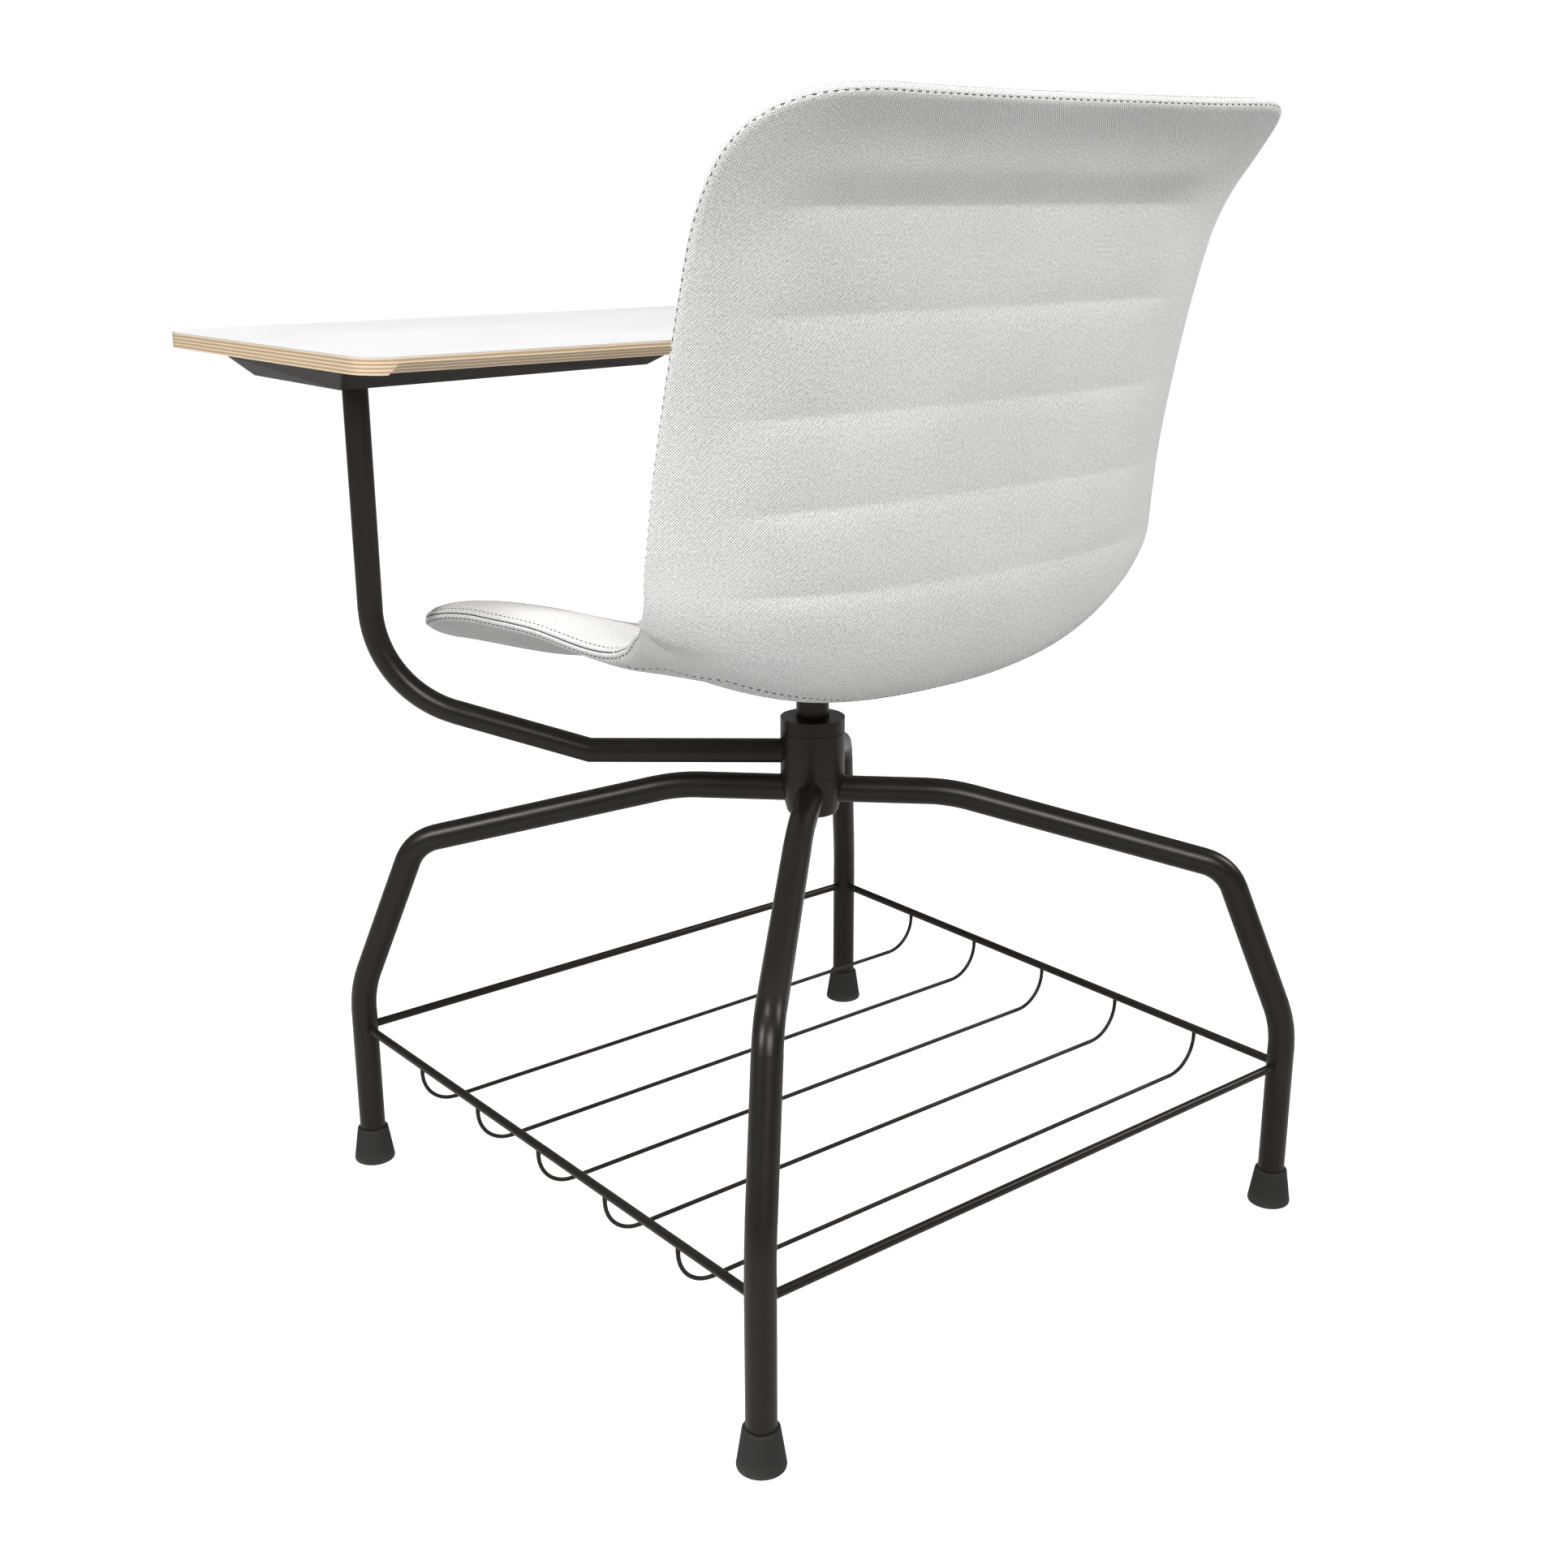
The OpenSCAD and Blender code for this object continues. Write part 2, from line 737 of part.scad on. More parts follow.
module tablet_bevel() {
    rear = -tablet_rear;
    lip_z = tablet_top_z - bevel_lip;
    low_half_w = bevel_half_w + bevel_end_run;
    over = 1;
    past = 10;
    at_hub() intersection() {
        translate([-tablet_w / 2, 0, 0]) rotate([90, 0, 90]) linear_extrude(tablet_w) polygon([
            [rear - bevel_run, board_low_z], [rear - bevel_run, board_low_z - over],
            [rear + over, board_low_z - over], [rear + over, lip_z], [rear, lip_z]
        ]);
        translate([0, past - tablet_rear, 0]) rotate([90, 0, 0]) linear_extrude(bevel_run + 2 * past)
            polygon([
                [-bevel_half_w, lip_z], [bevel_half_w, lip_z],
                [low_half_w, board_low_z], [low_half_w, board_low_z - over],
                [-low_half_w, board_low_z - over], [-low_half_w, board_low_z]
            ]);
    }
}

module at_tablet_screws(z) {
    for (point = tablet_screw_points) at_hub() translate([point[0], point[1], z]) children();
}

module tablet_board() {
    color(birch) difference() {
        at_tablet(board_low_z) rounded_slab([tablet_w, tablet_depth], board_t, tablet_corner);
        tablet_bevel();
        at_tablet_screws(board_low_z - 1) cylinder(h = tablet_screw_depth + 1, r = tablet_screw_r);
    }
}

module tablet_laminate() {
    color(laminate) at_tablet(tablet_top_z - laminate_t)
        rounded_slab([tablet_w, tablet_depth], laminate_t, tablet_corner);
}

module pan_form(low_points, low_z, high_points, high_z) {
    thin = 0.1;
    hull() {
        for (point = low_points) translate([point[0], point[1], low_z])
            cylinder(h = thin, r = pan_corner_r, $fn = 24);
        for (point = high_points) translate([point[0], point[1], high_z - thin])
            cylinder(h = thin, r = pan_corner_r, $fn = 24);
    }
}

function towards_middle(points, share) =
    let (middle_point = (points[0] + points[1] + points[2]) / 3)
    [for (point = points) point + share * (middle_point - point)];

module tablet_pan() {
    inner_share = 0.09;
    color(powder_coat) difference() {
        union() {
            difference() {
                at_hub() pan_form(pan_low_points, pan_low_z, pan_high_points, board_low_z);
                at_hub() pan_form(
                    towards_middle(pan_low_points, inner_share), pan_low_z + pan_wall,
                    towards_middle(pan_high_points, inner_share), board_low_z + 1
                );
            }
            at_tablet_screws(pan_low_z) cylinder(h = pan_h, r = pan_boss_r);
        }
        at_tablet_screws(pan_low_z - 1) cylinder(h = pan_h + 2, r = tablet_screw_r);
        at_tablet_screws(pan_low_z - 1) cylinder(h = tablet_recess_depth + 1, r = tablet_recess_r);
    }
}

module tablet_screws() {
    seat_z = pan_low_z + tablet_recess_depth;
    shank = board_low_z + tablet_screw_depth - seat_z;
    color(bright_steel) {
        at_tablet_screws(seat_z - tablet_screw_head_h)
            cylinder(h = tablet_screw_head_h, r = tablet_screw_head_r);
        at_tablet_screws(seat_z) cylinder(h = shank, r = tablet_screw_r);
    }
}

hub_socket();
hub_stem();
hub_ring();
washer_lower();
washer_upper();
spindle_thrust_washer();
spindle_bush_lower();
spindle_bush_upper();
leg_front_left();
leg_front_right();
leg_rear_left();
leg_rear_right();
foot_front_left();
foot_front_right();
foot_rear_left();
foot_rear_right();
rail_front();
rail_rear();
rail_left();
rail_right();
basket_wire_1();
basket_wire_2();
basket_wire_3();
basket_wire_4();
basket_wire_5();
spindle();
spindle_bolt();
bolt_washer();
seat_plate();
seat_screws();
shell_core();
front_upholstery();
rear_upholstery();
arm_collar();
collar_bush_lower();
collar_bush_upper();
arm_tube();
tablet_pan();
tablet_board();
tablet_laminate();
tablet_screws();
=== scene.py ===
import math

import bpy
import numpy as np
from mathutils import Matrix, Vector, geometry


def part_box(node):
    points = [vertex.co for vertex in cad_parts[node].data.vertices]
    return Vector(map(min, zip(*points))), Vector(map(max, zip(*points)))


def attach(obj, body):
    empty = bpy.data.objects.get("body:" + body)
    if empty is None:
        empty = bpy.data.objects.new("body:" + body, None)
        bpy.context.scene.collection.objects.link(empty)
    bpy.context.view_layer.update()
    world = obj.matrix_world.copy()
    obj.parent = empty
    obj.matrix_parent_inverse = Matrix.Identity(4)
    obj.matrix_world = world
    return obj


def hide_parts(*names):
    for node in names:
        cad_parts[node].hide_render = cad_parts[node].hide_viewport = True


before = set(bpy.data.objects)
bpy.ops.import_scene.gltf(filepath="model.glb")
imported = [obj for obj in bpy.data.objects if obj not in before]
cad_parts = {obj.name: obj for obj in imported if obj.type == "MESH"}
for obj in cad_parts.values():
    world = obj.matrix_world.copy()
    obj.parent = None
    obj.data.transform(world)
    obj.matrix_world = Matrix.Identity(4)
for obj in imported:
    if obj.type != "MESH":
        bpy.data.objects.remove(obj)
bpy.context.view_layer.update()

MM = 0.001


def hub_axis():
    """X and Y of the upright axis that the seat and the arm turn about, in metres."""
    low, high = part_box("spindle")
    return (low.x + high.x) / 2, (low.y + high.y) / 2


HUB = np.array([*hub_axis(), 0.0])


# ---------- Shell: the same middle surface as the CAD model, in millimetres from the hub's axis ----------

FRONT_Y, FRONT_Z, FRONT_SLOPE = -266.0, 433.0, 25.0
# The middle line's arcs, from the front edge up: length and turn in degrees
SPINE_ARCS = [(120, -26), (262, 9), (124, 87), (225, -11.5), (140, -75)]
SPINE = float(sum(length for length, _ in SPINE_ARCS))
# Share of the middle line's length, half width there, and how far the rim rises there
STATIONS = np.array([
    [0, 217, 44], [0.1, 216, 46], [0.22, 216, 51], [0.36, 222, 47], [0.44, 231, 67], [0.5, 240, 76],
    [0.58, 249, 60], [0.66, 249, 46], [0.78, 247, 23], [0.9, 247, 3], [1, 247, 5],
], float)
HALF_WIDTH, RISE = 1, 2
FRONT_CORNER, TOP_CORNER = 60.0, 83.0
FRONT_BOW, BOW_DEPTH = 24.0, 110.0
RISE_BLEND_FROM, RISE_BLEND_SPAN = 0.28, 0.22
LEAN_REACH, LEAN_FROM, LEAN_SPAN = 41, 0.2, 0.15
RIM_BAND = 26.0
HALF_T = 10.3


def smooth(x):
    """0 below 0, 1 above 1 and a soft step between them."""
    u = np.clip(x, 0, 1)
    return u * u * (3 - 2 * u)


def spine(d):
    """Y, Z and slope in radians of the middle line at distance d from the front edge."""
    y = np.full_like(d, FRONT_Y)
    z = np.full_like(d, FRONT_Z)
    slope = np.full_like(d, math.radians(FRONT_SLOPE))
    rest = d.copy()
    for length, turn in SPINE_ARCS:
        k = math.radians(turn) / length
        q = np.clip(rest, 0, length)
        y = y + (np.sin(slope + k * q) - np.sin(slope)) / k
        z = z - (np.cos(slope + k * q) - np.cos(slope)) / k
        slope = slope + k * q
        rest = rest - q
    return y, z, slope


def station(d, column):
    """A smooth curve through one column of the stations."""
    f = d / SPINE
    at, value = STATIONS[:, 0], STATIONS[:, column]
    tangent = np.empty_like(value)
    tangent[1:-1] = (value[2:] - value[:-2]) / (at[2:] - at[:-2])
    tangent[0] = (value[1] - value[0]) / (at[1] - at[0])
    tangent[-1] = (value[-1] - value[-2]) / (at[-1] - at[-2])
    i = np.clip(np.searchsorted(at, f, "left") - 1, 0, len(at) - 2)
    step = at[i + 1] - at[i]
    u = (f - at[i]) / step
    bulge = step * u * (1 - u) * ((1 - u) * tangent[i] - u * tangent[i + 1])
    return value[i] + (value[i + 1] - value[i]) * u * u * (3 - 2 * u) + bulge


def corner_cut(d, radius):
    """How far a round corner cuts in from the side at distance d from the end."""
    return np.where(d >= radius, 0, radius - np.sqrt(np.clip(radius**2 - (radius - d) ** 2, 0, None)))


def middle(x, d):
    """Point of the middle surface at x across and d along."""
    x, d = np.broadcast_arrays(np.asarray(x, float), np.asarray(d, float))
    y, z, slope = spine(d)
    across = np.abs(x) / station(d, HALF_WIDTH)
    blend = smooth((d / SPINE - RISE_BLEND_FROM) / RISE_BLEND_SPAN)
    rise = station(d, RISE) * (blend * across**3 + (1 - blend) * smooth(across))
    bow = -FRONT_BOW * np.clip(1 - d / BOW_DEPTH, 0, None) ** 2 * (1 - across * across)
    reach = LEAN_REACH * smooth((d / SPINE - LEAN_FROM) / LEAN_SPAN)
    lean = (spine(np.maximum(d - reach, 0))[2] + spine(np.minimum(d + reach, SPINE))[2]) / 2
    return np.stack([
        x,
        y - np.sin(lean) * rise + np.cos(slope) * bow,
        z + np.cos(lean) * rise + np.sin(slope) * bow,
    ], -1)


def unit(v):
    """Vectors made 1 long."""
    return v / np.linalg.norm(v, axis=-1, keepdims=True)


def normal(x, d):
    """Direction square to the middle surface, towards the sitter."""
    step = 0.5
    across = middle(x + step, d) - middle(x - step, d)
    along = middle(x, np.minimum(d + step, SPINE)) - middle(x, np.maximum(d - step, 0))
    return unit(np.cross(across, along))


# ---------- The rim, in the flat pattern of x across and d along ----------

STATION_STEP = 2.0
CORNER_POINTS, SIDE_POINTS, END_POINTS = 120, 700, 160
LEAST_SHARE = 0.7  # stations follow the distance in space, or this share of the pattern's if that's more
INWARD_WINDOW = 3  # stations on each side that set the inward direction


def rim_outline():
    """The outline, anticlockwise from the middle of the front edge, as x, d and the inward direction."""
    turn = np.linspace(0, math.pi / 2, CORNER_POINTS)
    front = FRONT_CORNER * (1 - np.cos(turn))
    back = SPINE - TOP_CORNER * (1 - np.cos(turn[::-1]))
    straight = np.linspace(FRONT_CORNER, SPINE - TOP_CORNER, SIDE_POINTS)[1:-1]
    side_d = np.concatenate([front, straight, back])
    cut = corner_cut(side_d, FRONT_CORNER)
    side_x = station(side_d, HALF_WIDTH) - cut - corner_cut(SPINE - side_d, TOP_CORNER)
    half = np.concatenate([
        np.stack([np.linspace(0, side_x[0], END_POINTS)[:-1], np.zeros(END_POINTS - 1)], -1),
        np.stack([side_x, side_d], -1),
        np.stack([np.linspace(side_x[-1], 0, END_POINTS)[1:], np.full(END_POINTS - 1, SPINE)], -1),
    ])
    mirrored = half[::-1][1:-1] * [-1, 1]
    line = np.concatenate([half, mirrored])
    closed = np.concatenate([line, line[:1]])
    space = middle(closed[:, 0], closed[:, 1])
    in_space = np.linalg.norm(np.diff(space, axis=0), axis=1)
    in_pattern = np.linalg.norm(np.diff(closed, axis=0), axis=1)
    run = np.concatenate([[0], np.cumsum(np.maximum(in_space, LEAST_SHARE * in_pattern))])
    count = int(round(run[-1] / STATION_STEP))
    at = np.arange(count) * run[-1] / count
    x, d = np.interp(at, run, closed[:, 0]), np.interp(at, run, closed[:, 1])
    along = unit(np.stack([
        np.roll(x, -INWARD_WINDOW) - np.roll(x, INWARD_WINDOW),
        np.roll(d, -INWARD_WINDOW) - np.roll(d, INWARD_WINDOW),
    ], -1))
    return x, d, np.stack([-along[:, 1], along[:, 0]], -1)


RIM_X, RIM_D, RIM_IN = rim_outline()
RIM_COUNT = len(RIM_X)


def rim_run(line):
    """Distance along a closed line of points, from its first point back to it."""
    closed = np.concatenate([line, line[:1]])
    return np.concatenate([[0], np.cumsum(np.linalg.norm(np.diff(closed, axis=0), axis=1))])


# ---------- Padding of the two upholstered halves ----------

# Each rib's place along the shell, its strength, and how far its slope reaches above and below it
RIBS = [
    (509.0, 0.85, 16.0, 7.0), (569.0, 0.9, 17.0, 7.0), (631.0, 1.0, 17.0, 7.0),
    (695.0, 1.25, 18.0, 8.0), (765.0, 1.75, 26.0, 13.0),
]
RIB_SHARPNESS = 1.3
RIB_DEPTH = {"rear": 5.0, "front": 2.2}
RIB_FADE_FROM, RIB_FADE_SPAN, RIB_RIM_FADE = 0.58, 0.3, 24
# The padding swells over the ribbed stretch, and once more above its top rib
PUFF = 0.7
PUFF_FROM, PUFF_RISE, PUFF_TO, PUFF_FALL = 470, 60, 800, 50
TOP_PUFF_AT, TOP_PUFF_REACH = 798, 20
# The rim's seam and topstitching
SEAM_HALF_GAP = 0.6
SEAM_ON_SEAT, SEAM_ON_BACK = math.radians(8), math.radians(33)
STITCH_ON_SEAT = {"rear": 4.0, "front": 4.4}
STITCH_ON_BACK = {"rear": 6.6, "front": 4.4}
BEND_FROM, BEND_SPAN = 330, 150
GROOVE, GROOVE_REACH, DIMPLE = 0.75, 0.75, 0.25
ROLL, ROLL_AT, ROLL_REACH = 0.45, 2.0, 1.6
LIP, LIP_REACH = 0.3, 0.5
SWELL, SWELL_PAST, SWELL_REACH = 0.3, 4.5, 2.5
NOSE_CROWDING = 1.25
RIM_THINNING, THINNING_REACH = 0.42, 75.0
THINNING_FROM, THINNING_SPAN = 420, 150
# The seam across the underside, and its topstitching
SEAM_AT, SEAM_RISE, SEAM_RISE_REACH = 398, 12, 150
SEAM_SWEEP, SEAM_SWEEP_FROM, SEAM_SWEEP_REACH = 90, 178, 34
SEAM_DEPTH, SEAM_REACH, SEAM_SHARPNESS = 1.1, 1.2, 1.5
SEAM_ROLL, SEAM_ROLL_REACH = 0.4, 1.6
SEAM_GROOVE, SEAM_GROOVE_REACH = 0.5, 1.0
SEAM_END, SEAM_POINT_STEP, SEAM_ROW_STEP = 204, 2.5, 0.9
SEAM_ROWS_BELOW, SEAM_ROWS_ABOVE = 3.0, 2.1
SEAM_CLEAR_BELOW, SEAM_CLEAR_ABOVE = 4.5, 3
CROSS_STITCH_OFF = 4.5
# The mesh of each cover
NOSE_STEPS = {"rear": 42, "front": 30}
SIDE = {"front": 1, "rear": -1}
INNER_H = 3.1
LEAST_PAD = 1.5
WAVE, WAVE_SIZE = 0.22, 23
POINT_PITCH, ROW_STEP = 4.4, 3.6
RIB_ROW_STEPS = [(3, 0.8), (12, 1.8)]  # rows this near a rib are this far apart
RING_CLEARANCE, SEAM_RING_GAP = 2.2, 2.0
LIP_FOLD = 0.35
# Rings of the inner face: distance behind the lip, and how far each has gone towards the core
BACK_RINGS = [(1.1, 0), (2.5, 0.05), (6.0, 0.35), (11.0, 0.85), (15.0, 1.0)]


def thickness(d, from_rim, which):
    """How far the cover stands off the middle surface; the rear cover thins towards the back's rim."""
    if which == "front":
        return np.full_like(from_rim, HALF_T)
    on_back = smooth((d - THINNING_FROM) / THINNING_SPAN)
    thin = RIM_THINNING * on_back * (1 - smooth(from_rim / THINNING_REACH))
    return HALF_T * (1 - thin)


def rim_distance(x, d):
    """Distance in the pattern from each point to the rim."""
    return np.array([np.sqrt(((RIM_X - a) ** 2 + (RIM_D - b) ** 2).min()) for a, b in zip(x, d)])


def cross_seam(x):
    """Where the seam across the underside runs, as a distance along the shell."""
    side = np.abs(x)
    sweep = SEAM_SWEEP * smooth((side - SEAM_SWEEP_FROM) / SEAM_SWEEP_REACH)
    return SEAM_AT + SEAM_RISE * smooth(side / SEAM_RISE_REACH) - sweep


def cross_slope(x):
    """The underside seam's slope in the pattern."""
    return cross_seam(x + 0.5) - cross_seam(x - 0.5)


def rib_offset(x, d, from_rim, which):
    """How far the sewn ribs pull the cover in, in mm."""
    across = np.abs(x) / station(d, HALF_WIDTH)
    hold = (1 - smooth((across - RIB_FADE_FROM) / RIB_FADE_SPAN)) * smooth(from_rim / RIB_RIM_FADE)
    depth = np.zeros_like(d)
    for at, strength, above, below in RIBS:
        off = d - at
        width = np.where(off > 0, above, below)
        soft = np.sqrt(off**2 + RIB_SHARPNESS**2) - RIB_SHARPNESS
        depth = depth + strength * np.exp(-soft / width)
    puff = PUFF * smooth((d - PUFF_FROM) / PUFF_RISE) * (1 - smooth((d - PUFF_TO) / PUFF_FALL))
    puff = puff + PUFF * np.exp(-((d - TOP_PUFF_AT) / TOP_PUFF_REACH) ** 2)
    pull = RIB_DEPTH[which] * hold * (puff - depth)
    if which == "rear":
        off = (d - cross_seam(x)) / np.hypot(1, cross_slope(x))
        pull = pull - SEAM_DEPTH * np.exp(-np.abs(off / SEAM_REACH) ** SEAM_SHARPNESS)
        pull = pull + SEAM_ROLL * np.exp(-((off - CROSS_STITCH_OFF / 2) / SEAM_ROLL_REACH) ** 2)
        pull = pull - SEAM_GROOVE * np.exp(-((off - CROSS_STITCH_OFF) / SEAM_GROOVE_REACH) ** 2)
    return pull


def uneven(x, d, size, seed):
    """Slow waves between -1 and 1, so that the cover isn't perfectly even."""
    a = np.sin(x / size + 1.7 * seed) * np.cos(d / (1.3 * size) + 0.6 * seed)
    b = np.sin((x * 0.6 + d * 0.8) / (0.55 * size) + 2.9 * seed)
    c = np.cos((x * 0.9 - d * 0.45) / (0.37 * size) + 4.1 * seed)
    return (a + 0.6 * b + 0.35 * c) / 1.95


def interior_points(ring, which):
    """Pattern points inside the nose ring, closer together near the ribs."""
    low, high = RIM_BAND + 2, SPINE - RIM_BAND - 2
    rows = [low]
    while rows[-1] < high:
        near = min(abs(rows[-1] - rib[0]) for rib in RIBS)
        step = next((step for reach, step in RIB_ROW_STEPS if near < reach), ROW_STEP)
        rows.append(rows[-1] + step)
    rows = np.array(rows)
    half_ring = ring[ring[:, 0] >= 0]
    order = np.argsort(half_ring[:, 1])
    half_at = np.interp(rows, half_ring[order, 1], half_ring[order, 0])
    points = []
    for d, half in zip(rows, half_at):
        reach = half - RING_CLEARANCE
        if reach <= 0:
            continue
        count = max(2, int(round(2 * reach / POINT_PITCH)))
        for i in range(count + 1):
            points.append((-reach + 2 * reach * i / count, d))
    points = np.array(points)
    if which == "front":
        return points
    off = (points[:, 1] - cross_seam(points[:, 0])) / np.hypot(1, cross_slope(points[:, 0]))
    points = points[(off < -SEAM_CLEAR_BELOW) | (off > CROSS_STITCH_OFF + SEAM_CLEAR_ABOVE)]
    line = [np.array([-SEAM_END, cross_seam(-SEAM_END)])]
    while line[-1][0] < SEAM_END:
        x = line[-1][0]
        x += SEAM_POINT_STEP / math.hypot(1, cross_slope(x))
        line.append(np.array([x, cross_seam(x)]))
    line = np.array(line)
    slope = cross_slope(line[:, 0])
    side = np.stack([-slope, np.ones_like(slope)], -1) / np.hypot(1, slope)[:, None]
    offsets = np.arange(-SEAM_ROWS_BELOW, CROSS_STITCH_OFF + SEAM_ROWS_ABOVE, SEAM_ROW_STEP)
    extra = np.concatenate([line + side * off for off in offsets])
    room = np.array([min(np.linalg.norm(ring - p, axis=1)) for p in extra])
    kept = [inside_loop(p, ring) and r > SEAM_RING_GAP for p, r in zip(extra, room)]
    return np.concatenate([points, extra[kept]])


def inside_loop(point, loop):
    """True if a pattern point is inside a closed loop of points."""
    x, d = point
    after = np.roll(loop, -1, 0)
    spans = (loop[:, 1] > d) != (after[:, 1] > d)
    a, b = loop[spans], after[spans]
    crossing = a[:, 0] + (d - a[:, 1]) / (b[:, 1] - a[:, 1]) * (b[:, 0] - a[:, 0])
    return int((crossing > x).sum()) % 2 == 1


def make_mesh(name, points, faces, weave=None):
    """A new smooth-shaded object from points in mm relative to the hub's axis."""
    mesh = bpy.data.meshes.new(name)
    mesh.from_pydata((points * MM + HUB).tolist(), [], faces)
    mesh.validate()
    mesh.shade_smooth()
    if weave is not None:
        field = mesh.attributes.new("weave", "FLOAT_VECTOR", "POINT")
        field.data.foreach_set("vector", (weave * MM).astype(np.float32).ravel())
    piece = bpy.data.objects.new(name, mesh)
    bpy.context.scene.collection.objects.link(piece)
    return piece


def across_length(x, d, steps=24):
    """Distance over the middle surface from its centre line to x, signed like x."""
    share = (np.arange(steps) + 0.5) / steps
    total = np.zeros_like(d)
    half_step = 0.5
    for s in share:
        total += np.linalg.norm(middle(x * s + half_step, d) - middle(x * s - half_step, d), axis=-1)
    return x * total / steps


def seam_angle(d):
    """Where the seam lies round the rim's nose: 0 at its tip, more towards the sitter."""
    return SEAM_ON_SEAT + (SEAM_ON_BACK - SEAM_ON_SEAT) * smooth((d - BEND_FROM) / BEND_SPAN)


def stitch_line(d, which):
    """Distance round the nose from the seam to the topstitching."""
    low, high = STITCH_ON_SEAT[which], STITCH_ON_BACK[which]
    return low + (high - low) * smooth((d - BEND_FROM) / BEND_SPAN)


def nose_rate(angle):
    """Distance round the nose for each radian."""
    return np.sqrt((RIM_BAND * np.sin(angle)) ** 2 + (HALF_T * np.cos(angle)) ** 2)


def cover(which):
    """One upholstered half as a closed padded form.

    Returns the object, then the outer strip's points, distances from the seam and directions,
    each as [ring, station].
    """
    side = SIDE[which]
    on_nose = seam_angle(RIM_D)
    share = np.linspace(0, 1, NOSE_STEPS[which])[:, None] ** NOSE_CROWDING
    first = on_nose + side * SEAM_HALF_GAP / nose_rate(on_nose)
    turn = first + (side * math.pi / 2 - first) * share
    inset = RIM_BAND * (1 - np.cos(turn))
    strip_x = RIM_X + inset * RIM_IN[:, 0]
    strip_d = np.clip(RIM_D + inset * RIM_IN[:, 1], 0, SPINE)
    towards_sitter = normal(strip_x, strip_d)
    out = side * towards_sitter
    stand_off = np.where(side * turn > 0, thickness(strip_d, inset, which), HALF_T)
    skin = middle(strip_x, strip_d) + (stand_off * np.sin(turn))[..., None] * towards_sitter
    step = np.linalg.norm(np.diff(skin, axis=0), axis=-1)
    run = np.concatenate([np.zeros((1, RIM_COUNT)), np.cumsum(step, axis=0)])
    facing = unit(np.cross(np.roll(skin, -1, 1) - np.roll(skin, 1, 1), np.gradient(skin, axis=0)))
    facing = facing * np.sign(np.sum(facing[-1] * out[-1]))
    line = stitch_line(RIM_D, which)
    phase = rim_run(middle(RIM_X, RIM_D))[:-1] / STITCH_PITCH
    dimple = 1 - DIMPLE + DIMPLE * np.cos(2 * math.pi * phase)
    groove = -GROOVE * dimple * np.exp(-((run - line) / GROOVE_REACH) ** 2)
    roll = ROLL * np.exp(-((run - ROLL_AT) / ROLL_REACH) ** 2) - LIP * np.exp(-(run / LIP_REACH) ** 2)
    swell = SWELL * np.exp(-((run - line - SWELL_PAST) / SWELL_REACH) ** 2)
    pull = rib_offset(strip_x, strip_d, np.where(side * turn > 0, inset, 0), which)
    wave = WAVE * uneven(strip_x, strip_d, WAVE_SIZE, side) * smooth(side * turn)
    skin = skin + (groove + roll + swell)[..., None] * facing + (pull + wave)[..., None] * out

    ring = np.stack([strip_x[-1], strip_d[-1]], -1)
    inner = interior_points(ring, which)
    flat = np.concatenate([ring, inner])
    loop = list(range(RIM_COUNT))
    made = geometry.delaunay_2d_cdt([Vector(p) for p in flat.tolist()], [], [loop], 1, 1e-4, True)
    back = [ids[0] if ids else -1 for ids in made[3]]
    tris = [tuple(back[v] for v in f) for f in made[2]]
    tris = [f for f in tris if max(f) >= RIM_COUNT or inside_loop(flat[list(f)].mean(axis=0), ring)]

    x, d = inner[:, 0], inner[:, 1]
    n = side * normal(x, d)
    pad = thickness(d, rim_distance(x, d), which)
    pad = pad + rib_offset(x, d, np.full_like(d, 2 * RIM_BAND), which)
    pad = np.maximum(pad + WAVE * uneven(x, d, WAVE_SIZE, side), INNER_H + LEAST_PAD)
    inside = middle(x, d) + pad[:, None] * n

    # Inner face: a few rings behind the lip, then the same pattern points at the core
    seam_inset, seam_h = RIM_BAND * (1 - np.cos(on_nose)), HALF_T * np.sin(on_nose)
    back_rings = []
    for depth, share in BACK_RINGS:
        h = (seam_h + side * LIP_FOLD) * (1 - share) + side * INNER_H * share
        at = seam_inset + depth
        bx = RIM_X + at * RIM_IN[:, 0]
        bd = np.clip(RIM_D + at * RIM_IN[:, 1], 0, SPINE)
        back_rings.append(middle(bx, bd) + h[:, None] * normal(bx, bd))
    back_rings.append(middle(ring[:, 0], ring[:, 1]) + side * INNER_H * normal(ring[:, 0], ring[:, 1]))
    back_inside = middle(x, d) + INNER_H * n

    # Vertices: back ring ... back lip, skin lip ... skin nose ring, inside, back inside
    rings = back_rings[::-1] + list(skin)
    points = np.concatenate([*rings, inside, back_inside])
    count = RIM_COUNT
    faces = []
    for r in range(len(rings) - 1):
        for s in range(count):
            a, b = r * count + s, r * count + (s + 1) % count
            faces.append((a, b, b + count, a + count))
    top_ring = (len(rings) - 1) * count
    first_inside = len(rings) * count
    first_back = first_inside + len(inner)
    front_index = lambda v: top_ring + v if v < count else first_inside + v - count
    back_index = lambda v: v if v < count else first_back + v - count
    faces += [tuple(front_index(v) for v in f) for f in tris]
    faces += [tuple(back_index(v) for v in reversed(f)) for f in tris]
    if side < 0:
        faces = [tuple(reversed(f)) for f in faces]

